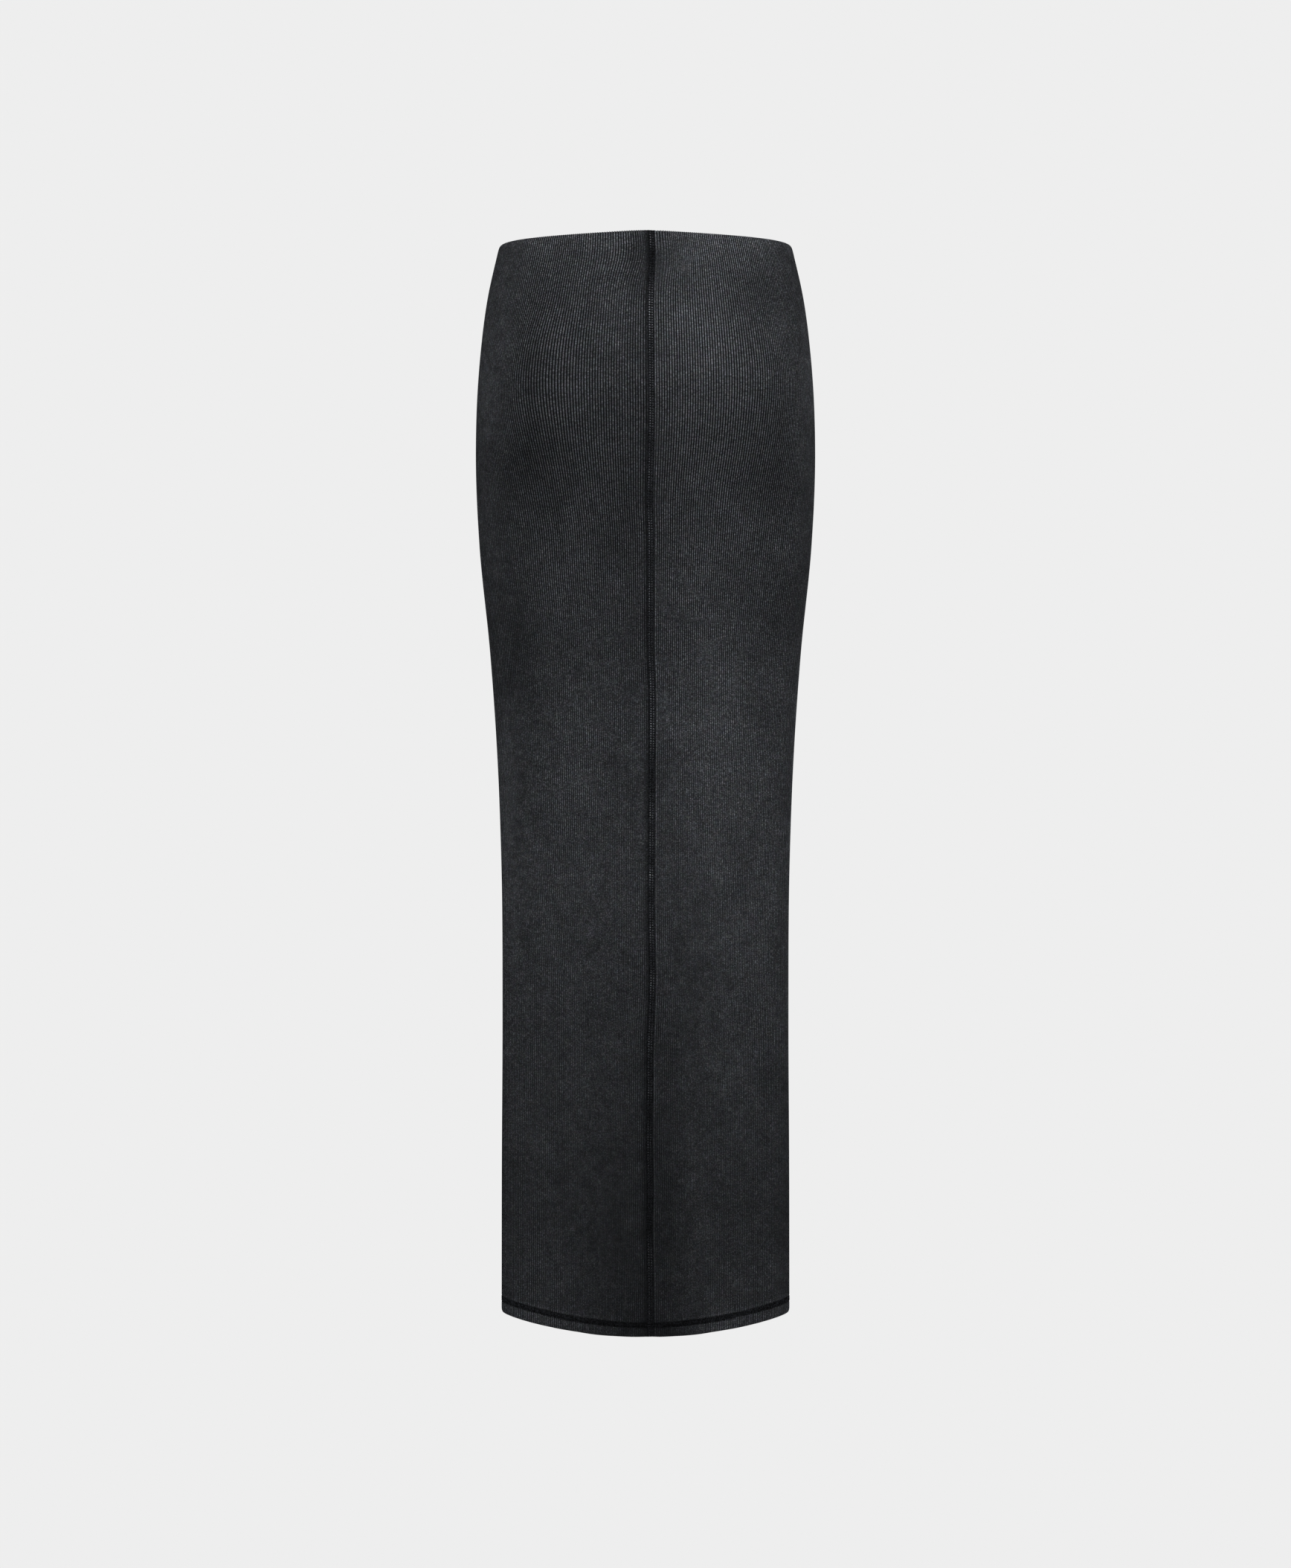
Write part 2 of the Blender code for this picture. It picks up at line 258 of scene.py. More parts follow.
# Stretches of that seam where more pale knit shows through the ladder or, below zero, less:
# drop, half length, tone
GLINTS = (
    (0, 4, -0.8), (11, 7, 1), (25, 9, -1), (45, 10, -0.5), (77, 20, 1.1), (111, 14, 0.1),
    (176, 13, 0.8), (230, 9, 0.4), (250, 6, -0.4), (278, 14, 0.8), (339, 12, 0.7), (383, 30, -0.2),
    (428, 14, 0.4), (465, 22, 0.8), (518, 18, -0.4), (546, 6, 0.9), (558, 5, -0.7), (575, 9, 0.3),
    (590, 6, -0.7), (604, 7, 1.6), (625, 6, -0.5), (635, 6, 0.6), (657, 6, 0.6), (682, 12, -0.6),
    (705, 9, 1.2), (728, 13, -0.5), (761, 6, 0.8), (785, 16, -0.4), (806, 4, 0.4), (822, 12, -0.6),
    (841, 8, 0.3), (880, 20, -0.4), (920, 20, -0.8), (953, 12, 0.6), (985, 20, -0.3),
)


class Side(NamedTuple):
    """The tables of the back or of the front."""

    folds: tuple
    fades: tuple
    clearness: tuple
    fluff: tuple


BACK_SIDE = Side(BACK_FOLDS, BACK_FADES_AND_SHADING, BACK_CLEARNESS, BACK_FLUFF)
FRONT_SIDE = Side(FRONT_FOLDS, FRONT_FADES_AND_SHADING, FRONT_CLEARNESS, ())

# ---- Sizes and colours that a user would change ----


def linear(hex_colour):
    """An sRGB hex colour as linear red, green, blue and 1."""
    channels = [int(hex_colour[i : i + 2], 16) / 255 for i in (1, 3, 5)]
    return tuple(c / 12.92 if c <= 0.04045 else ((c + 0.055) / 1.055) ** 2.4 for c in channels) + (1.0,)


def number_property(name, description, default, unit="NONE"):
    return bpy.props.FloatProperty(
        name=name, description=description, default=default, min=0.0, unit=unit, precision=5
    )


def length_property(name, description, millimetres):
    return number_property(name, description, millimetres * MM, "LENGTH")


def colour_property(name, description, hex_colour):
    return bpy.props.FloatVectorProperty(
        name=name, description=description, default=linear(hex_colour),
        size=4, subtype="COLOR", min=0.0, max=1.0,
    )


class KnitProperties(bpy.types.PropertyGroup):
    """The rib knit and its wash."""

    cloth: length_property("Cloth", "Thickness of one layer of knit", 1.0)
    rib_height: length_property("Rib height", "How far the rib crests stand above the grooves", 0.6)
    course: length_property("Course", "Height of one drawn stitch down a rib", 1.9)
    waist_turning: length_property("Waist turning", "How far the top is turned in over its elastic", 25.0)
    waist_thickness: length_property("Waist thickness", "Thickness of the turned-in waist", 2.8)
    hem_turning: length_property("Hem turning", "How far the hem is turned up inside", 13.0)
    hem_thickness: length_property("Hem thickness", "Thickness of the turned-up hem", 2.2)
    crest: colour_property("Crest", "Faded top of a rib", "#57595d")
    groove: colour_property("Groove", "Unfaded dye between the ribs", "#07080a")


class StitchProperties(bpy.types.PropertyGroup):
    """The sewing threads."""

    band_width: length_property("Seam width", "Width of the flat seam down the centre back", 6.6)
    band_depth: length_property("Seam depth", "How far the seam lies under the cloth beside it", 0.7)
    seam_stitch: length_property("Seam stitch", "From one rung of the seam's ladder to the next", 2.35)
    thread: length_property("Thread", "Diameter of the sewing thread", 0.56)
    hem_line: length_property("Hem line", "Height of the hem's cover stitch above the hem edge", 10.5)
    hem_width: length_property("Hem stitch width", "Width of the cover stitch", 4.6)
    hem_stitch: length_property("Hem stitch", "Length of one cover stitch", 2.2)
    colour: colour_property("Thread colour", "Black thread where the wash has faded it most", "#151619")


class StudioProperties(bpy.types.PropertyGroup):
    """Backdrop and lights."""

    backdrop: colour_property("Backdrop", "Pale ground behind the skirt", "#eeeeee")
    floor: colour_property("Floor", "Pale floor under the skirt", "#e9e9e9")
    key: number_property("Key", "Power of the main soft light", 60.0, "POWER")
    fill: number_property("Fill", "Power of the light beside it", 20.0, "POWER")
    rear: number_property("Rear", "Power of the light on the front panel", 70.0, "POWER")
    ambient: number_property("Ambient", "Light from all round", 0.12)


class SkirtProperties(bpy.types.PropertyGroup):
    """All the settings of the skirt and its studio."""

    knit: bpy.props.PointerProperty(type=KnitProperties, name="Knit", description="The rib knit")
    stitch: bpy.props.PointerProperty(type=StitchProperties, name="Stitching", description="The threads")
    studio: bpy.props.PointerProperty(type=StudioProperties, name="Studio", description="Ground and lights")


def millimetres(metres):
    return metres / MM


# ---- The form's outline at many drops ----


def soft_step(value, start, end):
    """0 up to the start, 1 from the end on, and smooth between them."""
    t = np.clip((value - start) / (end - start), 0.0, 1.0)
    return t * t * (3.0 - 2.0 * t)


def bell(value, half_width):
    return np.exp(-((value / half_width) ** 2))


def smooth_rows(table, drops):
    """The table's columns at these drops, on smooth curves through its rows."""
    rows = np.array(table)
    knots = rows[:, 0]
    slopes = np.gradient(rows, knots, axis=0)
    i = np.clip(np.searchsorted(knots, drops, side="right") - 1, 0, len(knots) - 2)
    span = knots[i + 1] - knots[i]
    t = ((drops - knots[i]) / span)[:, None]
    span = span[:, None]
    value = (
        (2 * t**3 - 3 * t**2 + 1) * rows[i]
        + (t**3 - 2 * t**2 + t) * span * slopes[i]
        + (3 * t**2 - 2 * t**3) * rows[i + 1]
        + (t**3 - t**2) * span * slopes[i + 1]
    )
    return value.T


def centre_fold(x, depth):
    """How far the centre fold draws the cloth in: a flat-bottomed trough with soft shoulders."""
    shoulder = np.clip((np.abs(x) - FOLD_FLOOR) / (FOLD_REACH - FOLD_FLOOR), 0.0, 1.0)
    return depth * 0.5 * (1.0 + np.cos(math.pi * shoulder))


class Rings:
    """Outlines at several drops, each from the right side seam round the back to the left, then the front."""

    def __init__(self, drops):
        self.drops = np.asarray(drops, dtype=float)
        section = Section(*smooth_rows(SECTIONS, self.drops)[:, :, None])
        turn = np.linspace(0.0, 2.0 * math.pi, OUTLINE_STEPS + 1)
        wide, deep = np.cos(turn), np.sin(turn)
        power = 2.0 / section.squareness
        self.half_width = section.half_width
        self.back_fold, self.front_fold = section.back_fold, section.front_fold
        self.x = section.half_width * np.sign(wide) * np.abs(wide) ** power
        roundness = np.abs(deep) ** power
        back = centre_fold(self.x, section.back_fold) - section.back * roundness
        front = section.front * roundness - centre_fold(self.x, section.front_fold)
        half = OUTLINE_STEPS // 2
        self.y = np.where(np.arange(OUTLINE_STEPS + 1) <= half, back, front)
        steps = np.hypot(np.diff(self.x, axis=1), np.diff(self.y, axis=1))
        self.arc = np.pad(np.cumsum(steps, axis=1), ((0, 0), (1, 0)))
        seam_x = smooth_rows(SEAM_LINE, self.drops)[1]
        back_outlines = zip(seam_x, self.x[:, : half + 1], self.arc[:, : half + 1])
        self.seams = {
            "right_side": np.zeros(len(self.drops)),
            "centre_back": np.array([np.interp(-at, -x, arc) for at, x, arc in back_outlines]),
            "left_side": self.arc[:, half],
            "closing": self.arc[:, -1],
        }

    def place(self, arc):
        """x and y at these distances along each outline."""
        places = np.empty(arc.shape + (2,))
        for i, along in enumerate(arc):
            along = np.mod(along, self.arc[i, -1])
            places[i, :, 0] = np.interp(along, self.arc[i], self.x[i])
            places[i, :, 1] = np.interp(along, self.arc[i], self.y[i])
        return places

    def outward(self, arc):
        """The level direction out of the cloth."""
        along = self.place(arc + DIRECTION_REACH) - self.place(arc - DIRECTION_REACH)
        along /= np.linalg.norm(along, axis=2, keepdims=True)
        return np.stack((-along[..., 1], along[..., 0]), axis=2)

    def height(self, places):
        """The height of each place: the waist and the hem are curved, and so is the cloth near them."""
        drops = self.drops[:, None]
        across = np.clip(np.abs(places[..., 0]) / self.half_width, 0.0, 1.0)
        near_waist = np.clip(1.0 - drops / WAIST_DIP_REACH, 0.0, None) ** 2
        near_hem = np.clip(1.0 - (LENGTH - drops) / HEM_DIP_REACH, 0.0, None) ** 2
        waist_dip = WAIST_DIP * np.sin(0.5 * math.pi * across / WAIST_DIP_PLACE)
        back = places[..., 1] < 0.0
        fold = centre_fold(places[..., 0], np.where(back, self.back_fold, self.front_fold))
        hem_dip = np.where(back, HEM_DIP_BACK, HEM_DIP_FRONT) * (1.0 - across**HEM_CURVE)
        hem_dip += HEM_FOLD_DIP * fold
        stretch = bell(LENGTH - drops, EDGE_STRETCH_REACH) - bell(drops, EDGE_STRETCH_REACH)
        return -(drops + near_waist * waist_dip + near_hem * hem_dip + EDGE_STRETCH * stretch)

    def across(self, arc, front):
        """Distance along the cloth, to the right, from the centre-back seam or the middle of the front."""
        if front:
            return arc - 0.5 * (self.seams["left_side"] + self.seams["closing"])[:, None]
        return self.seams["centre_back"][:, None] - arc


def edge_lean(drops):
    """How far the cloth rounds in near the waist edge and the hem."""
    near = 1.0 - np.clip(np.minimum(drops, LENGTH - drops) / EDGE_HEIGHT, 0.0, 1.0)
    return EDGE_LEAN * (1.0 - np.sqrt(1.0 - near**2))


def on_cloth(rings, arc, lift):
    """Points on the cloth, lifted off its form, and the outward directions there."""
    places, outward = rings.place(arc), rings.outward(arc)
    inset = edge_lean(rings.drops)[:, None] - lift
    points = np.dstack((places - inset[..., None] * outward, rings.height(places)))
    return points, np.dstack((outward, np.zeros(arc.shape)))


# ---- What lies on the form: folds, fades, the seam and the hem line ----


class Surface(NamedTuple):
    """The cloth at each point."""

    lift: np.ndarray  # outwards, in mm
    # the wash also carries painted light and shade: beside the seam, at puckers, under the hem's fold, above
    # the hem stitch, in the patches and down the length of the skirt
    wash: np.ndarray  # 1 is the usual fading
    clarity: np.ndarray  # 1 where the wash tells crests and grooves apart clearly
    fluff: np.ndarray  # 1 is the usual amount of flecks
    ribbing: np.ndarray  # 1 where the ribs stand clear, 0 where they are pressed flat


def fold_lift(folds, x, drops):
    lift = np.zeros(np.broadcast(x, drops).shape)
    for top_x, bottom_x, top, bottom, half_width, height in folds:
        down = np.clip((drops - top) / (bottom - top), 0.0, 1.0)
        line = top_x + (bottom_x - top_x) * down
        lift += height * np.sin(math.pi * down) ** 2 * bell(x - line, half_width)
    return lift


def patches(rows, x, drops):
    """What a table of soft patches adds up to."""
    total = np.zeros(np.broadcast(x, drops).shape)
    for middle, drop, half_width, half_height, amount in rows:
        total += amount * bell(x - middle, half_width) * bell(drops - drop, half_height)
    return total


def stretches(rows, drops, column):
    """What one column of a table of stretches adds up to."""
    return sum(row[column] * bell(drops - row[0], row[1]) for row in rows)


def eased(pair, drops, span):
    """The pair's first value above a span of drops, and its second below it."""
    return pair[0] + (pair[1] - pair[0]) * soft_step(drops, *span)


def by_side(pair, across):
    """The pair's first value to the left of the seam, and its second to the right."""
    return np.where(across > 0.0, pair[1], pair[0])


# The centre-back seam: the left panel rolls down into it, the right one ends in a crisp rib beside it.
# Where a value has two numbers, they are for the left and the right unless the line says otherwise.
SEAM_SINK = 2.2
SEAM_EDGE = (-0.9, 0.2)  # the cloth steps down into the seam from here to here, beside the band's edge
ROLL = (9.0, 3.5)
PRESS_REACH = (7.0, 12.0)  # a pucker flattens the ribs this far to each side
PRESS_RIGHT_FROM = (8.0, 24.0)  # drops; on the right none is flattened above them
PRESS_SHADE = 0.22  # and paints shade on them, darker by this share
RIBS_PRESSED = 0.85  # how flat it can press them
RIBS_FROM = (-0.5, -0.2)  # the ribs rise from here, outside the seam's edge ...
RIBS_FULL = (1.4, 0.6)  # ... and are full here
SHADE = (0.62, 0.35)  # painted shade in the roll into the seam, where the wash has also faded it less: darker by this share ...
SHADE_REACH = (3.0, 0.6)  # ... over this reach
RIDGE_HEIGHT = 0.45
RIDGE_PLACE = 1.1  # outside the seam's edge
RIDGE_HALF_WIDTH = 0.75
RIDGE_TONE = (1.3, 0.55)  # how much paler it is, higher up and lower down ...
RIDGE_FADES = (110.0, 210.0)  # ... than these drops
RIDGE_PRESSED = 0.6  # a pucker takes this share off its height ...
RIDGE_DULLED = 0.7  # ... and this share off its tone
BEAD_PLACE = 1.2  # two pale lines of knit show through the ladder, this far from its middle
BEAD_HALF_WIDTH = 0.55
BEAD_HEIGHT = 0.2
BEAD_TONE = (3.4, 2.2)
BEADS_SUNK = 0.8  # a deep pucker hides this share of them
BEADS_RIGHT_FROM = (-40.0, 66.0)  # drops over which the right line comes in
FLOOR_TONE = (0.2, 0.1)  # of the knit between the threads, higher up and lower down ...
FLOOR_FADES = (640.0, 860.0)  # ... than these drops


def seam_floor(drops, stitch):
    """How far the middle of the seam lies under the form."""
    return SEAM_SINK + millimetres(stitch.band_depth) + stretches(PUCKERS, drops, 2)


def seam_surface(across, drops, stitch):
    """The cloth in and beside the centre-back seam."""
    beyond = np.abs(across) - 0.5 * millimetres(stitch.band_width)
    outside = np.clip(beyond, 0.0, None)
    inside = 1.0 - soft_step(beyond, *SEAM_EDGE)
    ridge = by_side((0.0, bell(beyond - RIDGE_PLACE, RIDGE_HALF_WIDTH)), across)
    bead = inside * bell(np.abs(across) - BEAD_PLACE, BEAD_HALF_WIDTH)
    depth = stretches(PUCKERS, drops, 2)
    press = np.clip(stretches(PUCKERS, drops, 3), 0.0, 1.0)
    press = press * by_side((1.0, soft_step(drops, *PRESS_RIGHT_FROM)), across)

    lift = -(SEAM_SINK + depth) * bell(outside, by_side(ROLL, across))
    lift = lift - millimetres(stitch.band_depth) * inside
    lift = lift + RIDGE_HEIGHT * ridge * (1.0 - RIDGE_PRESSED * press) + BEAD_HEIGHT * bead

    pressed = press * bell(outside, by_side(PRESS_REACH, across))
    ribbing = (1.0 - inside) * soft_step(outside, by_side(RIBS_FROM, across), by_side(RIBS_FULL, across))
    ribbing = ribbing * (1.0 - RIBS_PRESSED * pressed)

    # Painted shade in the roll into the seam, where the cloth is also less faded
    shade = 1.0 - by_side(SHADE, across) * bell(outside, by_side(SHADE_REACH, across))
    # and painted shade where a pucker presses the ribs
    shade = shade * (1.0 - PRESS_SHADE * pressed)
    pale = eased(RIDGE_TONE, drops, RIDGE_FADES) * ridge * (1.0 - RIDGE_DULLED * press)
    dots = by_side(BEAD_TONE, across) * np.clip(1.0 + stretches(GLINTS, drops, 2), 0.0, None)
    dots = dots * (1.0 - BEADS_SUNK * np.clip(depth, 0.0, 1.0))
    dots = dots * by_side((1.0, soft_step(drops, *BEADS_RIGHT_FROM)), across)
    floor = eased(FLOOR_TONE, drops, FLOOR_FADES)
    wash = (1.0 - inside) * (shade + pale) + inside * (floor + dots * bead)
    return Surface(lift, wash, 1.0, 1.0, ribbing)


# The hem's cover stitch presses the cloth in and keeps it dark
HEM_PRESS = 0.5
HEM_FLATTENED = 0.7  # it flattens the ribs by this share
HEM_BAND_EDGE = (-0.3, 0.6)  # beside the stitch's edge
HEM_BAND_SHADE = 0.85
HEM_EDGE_DARK = (0.3, 1.4)  # painted shade under the rolled fold of the hem: full up to here, and gone by there
HEM_EDGE_SHADE = 0.45
HEM_PALE = 0.5  # the turned-up cloth under the stitch is this much paler towards the sides ...
HEM_PALE_FROM = (20.0, 66.0)  # ... between these distances from the middle
HEM_CLEAR = 0.75  # and its ribs are this clear there
HEM_RIDGE_HIGHLIGHT = 0.5  # a painted highlight, paler by this share, where the cloth swells along the upper edge of the stitch ...
HEM_RIDGE_PLACE = 1.6  # ... this far above it
HEM_RIDGE_HALF_WIDTH = 1.1
HEM_LINE_RISE = 3.4
HEM_LINE_RISE_POWER = 1.3


def hem_line_rise(x):
    """How much higher than at the centre the hem is sewn, towards its sides."""
    return HEM_LINE_RISE * (np.abs(x) / Section(*SECTIONS[-1]).half_width) ** HEM_LINE_RISE_POWER


def hem_surface(x, drops, stitch):
    """The cloth in and beside the hem's cover stitch."""
    above = LENGTH - drops
    half = 0.5 * millimetres(stitch.hem_width)
    from_line = above - millimetres(stitch.hem_line) - hem_line_rise(x)
    band = 1.0 - soft_step(np.abs(from_line) - half, *HEM_BAND_EDGE)
    edge = 1.0 - soft_step(above, *HEM_EDGE_DARK)
    aside = soft_step(np.abs(x), *HEM_PALE_FROM)
    below = (1.0 - soft_step(from_line, -half, 0.0)) * aside
    ridge = bell(from_line - half - HEM_RIDGE_PLACE, HEM_RIDGE_HALF_WIDTH) * aside
    # edge is painted shade under the fold of the hem
    wash = 1.0 - HEM_BAND_SHADE * band - HEM_EDGE_SHADE * edge
    # ridge here is a painted highlight along the upper edge of the stitch
    wash = wash * (1.0 + HEM_PALE * below + HEM_RIDGE_HIGHLIGHT * ridge)
    return Surface(-HEM_PRESS * band, wash, HEM_CLEAR * below, 1.0, 1.0 - HEM_FLATTENED * band)


# The sides, as shares of the half width, to the left and to the right
SIDE_BLUR_FROM = (0.71, 0.83)  # over the sides of the hips the ribs merge from here ...
SIDE_BLUR_FULL = (0.91, 0.97)  # ... to here ...
SIDE_CLARITY = 0.25  # ... and keep this share of their clarity
SIDE_BLUR_DROP = (300.0, 420.0)  # which ends between these drops
SIDE_SMOOTH_FROM = (0.70, 0.88)  # the sides have been rubbed smooth from here ...
SIDE_SMOOTH_FULL = (0.96, 0.98)  # ... to here ...
SIDE_FLUFF = 0.55  # ... and keep this share of the flecks
SIDE_SMOOTH_DROP = (580.0, 700.0)  # which ends between these drops on the left


def cloth_surface(rings, arc, front, stitch):
    """Everything that lies on the form, at each point of a panel."""
    drops = rings.drops[:, None]
    x = rings.place(arc)[..., 0]
    side = FRONT_SIDE if front else BACK_SIDE
    # worn is the tone down the skirt: the fading, with painted light and shade that fall off towards the hem
    _, worn, clarity, fluff = smooth_rows(WEAR_AND_PAINTED_LIGHT, rings.drops)[..., None]
    hem = hem_surface(x, drops, stitch)
    lift = fold_lift(side.folds, x, drops) + hem.lift
    # the patches lay painted light and shade of the form over the fading
    wash = (1.0 + patches(side.fades, x, drops)) * hem.wash * worn
    ribbing = hem.ribbing
    if not front:
        seam = seam_surface(rings.across(arc, front), drops, stitch)
        lift = lift + seam.lift
        wash = wash * seam.wash
        ribbing = ribbing * seam.ribbing
    outwards = np.abs(x) / rings.half_width
    blur = soft_step(outwards, by_side(SIDE_BLUR_FROM, x), by_side(SIDE_BLUR_FULL, x))
    clarity = clarity * (1.0 - (1.0 - SIDE_CLARITY) * blur * (1.0 - soft_step(drops, *SIDE_BLUR_DROP)))
    clarity = np.clip(clarity * (1.0 + patches(side.clearness, x, drops)), 0.0, 1.0)
    smooth = soft_step(outwards, by_side(SIDE_SMOOTH_FROM, x), by_side(SIDE_SMOOTH_FULL, x))
    smooth = smooth * by_side((1.0 - soft_step(drops, *SIDE_SMOOTH_DROP), 1.0), x)
    fluff = fluff * (1.0 - (1.0 - SIDE_FLUFF) * smooth) * (1.0 + patches(side.fluff, x, drops))
    return Surface(lift, wash, np.maximum(clarity, hem.clarity), fluff, ribbing)


DRIFT_PEAK = 0.4725  # of share * (1 - share ** 3)
SHIFT_FROM_SEAM = (0.0, 16.0)  # no sideways pull at a seam, and all of it from here on
SHIFT_FROM_SIDE = (0.0, 30.0)


def drifted(rings, arc, front):
    """The rib lines of a panel where the knit's stretch has moved them; its seams stay where they are."""
    across = rings.across(arc, front)
    _, middle, side, end = rings.seams.values()
    ends = (0.5 * (end - side),) * 2 if front else (side - middle, middle)
    length = by_side([each[:, None] for each in ends], across)
    share = np.clip(np.abs(across) / length, 0.0, 1.0)
    _, left, right = smooth_rows(DRIFT, rings.drops)[..., None]
    drift = by_side((-left, right), across) * share * (1.0 - share**3) / DRIFT_PEAK
    if front:
        return arc + drift
    pull = patches(SHIFTS, across, rings.drops[:, None]) * soft_step(np.abs(across), *SHIFT_FROM_SEAM)
    return arc - drift - pull * soft_step(length - np.abs(across), *SHIFT_FROM_SIDE)


# ---- Meshes ----


def new_mesh(name, points, faces, values):
    """A smooth mesh from points in mm, with values at its points."""
    mesh = bpy.data.meshes.new(name)
    mesh.from_pydata(points * MM, [], faces)
    mesh.shade_smooth()
    for kind, at_points in values.items():
        attribute = mesh.attributes.new(kind, "FLOAT", "POINT")
        attribute.data.foreach_set("value", np.asarray(at_points, dtype=np.float32).ravel())
    return mesh


def add_map(mesh, name, u, v):
    layer = mesh.uv_layers.new(name=name)
    layer.data.foreach_set("uv", np.column_stack((u, v)).astype(np.float32).ravel())


def add_piece(mesh, finish, properties):
    """The mesh as a piece of the skirt, in a finish that is made once."""
    mesh.materials.append(bpy.data.materials.get(finish.__name__) or finish(properties))
    item = bpy.data.objects.new(mesh.name, mesh)
    bpy.context.scene.collection.objects.link(item)
    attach(item, BODY)
    return item


# ---- The panels ----


class Row(NamedTuple):
    """One line of points along a panel. They go down the outer face, round the hem and up the inside."""

    drop: float
    depth: float  # inwards from the outer face of the form
    groove_in: float  # a groove's points lie this share of the rib height further in ...
    groove_down: float  # ... and this share lower
    outer: bool


EDGE_ROWS = (0.0, 0.7, 1.6, 3.0, 5.0, 7.5)  # below the waist roll
# above the hem
HEM_ROWS = (20.0, 17.6, 16.4, 15.4, 14.4, 13.4, 12.6, 11.4, 9.8, 8.2, 7.4, 6.2, 4.8, 3.6, 2.4)
HEM_TURNED_ROWS = (3.0, 6.5)  # above the hem, inside
WAIST_TURNED_ROWS = (0.6, 0.3)  # inside, as shares of the waist turning
ROLL_STEPS = 5
HEM_SERRATION = 0.1  # the ribs show this much on the hem's pressed fold, and fully on the waist edge
TURNING_EDGE = 0.6  # half the height over which a turning's cut edge tapers


def rolled(centre, radius, serration, steps):
    """The rows round a rolled edge at the bottom or, where the radius is below zero, at the top."""
    rows = []
    for step in steps:
        turn = math.pi * step / ROLL_STEPS
        drop = centre + radius * math.sin(turn)
        depth = abs(radius) * (1.0 - math.cos(turn))
        rows.append(Row(drop, depth, math.cos(turn), serration * math.sin(turn), False))
    return rows


def panel_rows(panel, knit):
    """The rows of a panel, in order round its cross section."""
    waist_roll = 0.5 * millimetres(knit.waist_thickness)
    hem_roll = 0.5 * millimetres(knit.hem_thickness)
    waist_turning, hem_turning = millimetres(knit.waist_turning), millimetres(knit.hem_turning)

    first, last = waist_roll + EDGE_ROWS[-1], LENGTH - HEM_ROWS[0]
    outer = [waist_roll + step for step in EDGE_ROWS[:-1]]
    outer += list(np.linspace(first, last, round((last - first) / panel.row_step) + 1))
    outer += [LENGTH - step for step in HEM_ROWS[1:]] + [LENGTH - hem_roll]
    rows = [Row(drop, 0.0, 1.0, 0.0, True) for drop in outer]

    rows += rolled(LENGTH - hem_roll, hem_roll, -HEM_SERRATION, range(1, ROLL_STEPS))
    for above in (hem_roll, *HEM_TURNED_ROWS, hem_turning - TURNING_EDGE):
        rows.append(Row(LENGTH - above, 2.0 * hem_roll, -1.0, 0.0, False))
    top, bottom = waist_turning + TURNING_EDGE, LENGTH - hem_turning - TURNING_EDGE
    for drop in np.linspace(bottom, top, round((bottom - top) / panel.inner_row_step) + 1):
        rows.append(Row(drop, millimetres(knit.cloth), 1.0, 0.0, False))
    turned = [share * waist_turning for share in WAIST_TURNED_ROWS]
    for drop in (waist_turning - TURNING_EDGE, *turned, waist_roll):
        rows.append(Row(drop, 2.0 * waist_roll, -1.0, 0.0, False))
    return rows + rolled(waist_roll, -waist_roll, 1.0, range(ROLL_STEPS - 1, 0, -1))


def strip_faces(first, second, first_at, second_at):
    """Triangles that close the strip between two lines of points, each at its own places from 0 to 1."""
    faces = []
    i = j = 0
    while i < len(first) - 1 or j < len(second) - 1:
        second_done = j == len(second) - 1
        if second_done or (i < len(first) - 1 and first_at[i + 1] <= second_at[j + 1]):
            faces.append((first[i], first[i + 1], second[j]))
            i += 1
        else:
            faces.append((first[i], second[j + 1], second[j]))
            j += 1
    return faces


def panel_faces(rows, columns):
    """The faces round a panel's cross section, and the triangles that close its two narrow sides."""
    numbers = np.arange(len(rows) * columns).reshape(-1, columns)
    lower = np.roll(numbers, -1, axis=0)
    quads = np.stack((numbers[:, :-1], numbers[:, 1:], lower[:, 1:], lower[:, :-1]), axis=-1).reshape(-1, 4)
    outer = sum(row.outer for row in rows)
    at = np.array([row.drop for row in rows]) / LENGTH
    at[0], at[outer - 1] = 0.0, 1.0
    sides = []
    for column, order in ((0, 1), (-1, -1)):
        edge = numbers[:, column]
        faces = strip_faces(edge[:outer], edge[outer:][::-1], at[:outer], at[outer:][::-1])
        sides += [face[::order] for face in faces]
    return quads, np.array(sides)


CAP_WIDTH = 0.008  # the panel's narrow sides take this share of its flat map
OUTER_SHARE = 0.76  # the outer face takes this share of the flat map's height


def add_maps(mesh, rows, ribs, quads, sides):
    """The map that counts ribs across and mm down the cloth, and the one with the panel laid flat."""
    depth = [abs(b.drop - a.drop) + abs(b.depth - a.depth) for a, b in zip(rows, rows[1:])]
    run = np.cumsum([0.0] + depth)
    end = run[-1] + 1.0
    outer = sum(row.outer for row in rows)
    row_of, column_of = np.divmod(np.concatenate((quads.ravel(), sides.ravel())), len(ribs))
    run_at = run[row_of]
    closing = run_at[: quads.size].reshape(-1, 4)[1 - len(ribs) :]
    closing[:, 2:] = end  # the last row of faces joins on to the first row of points
    add_map(mesh, KNIT_MAP, ribs[column_of], run_at)

    share = (ribs - ribs[0]) / (ribs[-1] - ribs[0])
    u = 2.0 * CAP_WIDTH + (1.0 - 4.0 * CAP_WIDTH) * share[column_of]
    v = 1.0 - np.interp(run_at, (0.0, run[outer - 1], end), (0.0, OUTER_SHARE, 1.0))
    side_u = np.where(row_of < outer, 0.0, CAP_WIDTH)
    side_v = 1.0 - np.clip(np.array([row.drop for row in rows])[row_of] / LENGTH, 0.0, 1.0)
    u[quads.size :] = np.where(column_of == 0, side_u, 1.0 - side_u)[quads.size :]
    v[quads.size :] = side_v[quads.size :]
    add_map(mesh, BAKE_MAP, u, v)


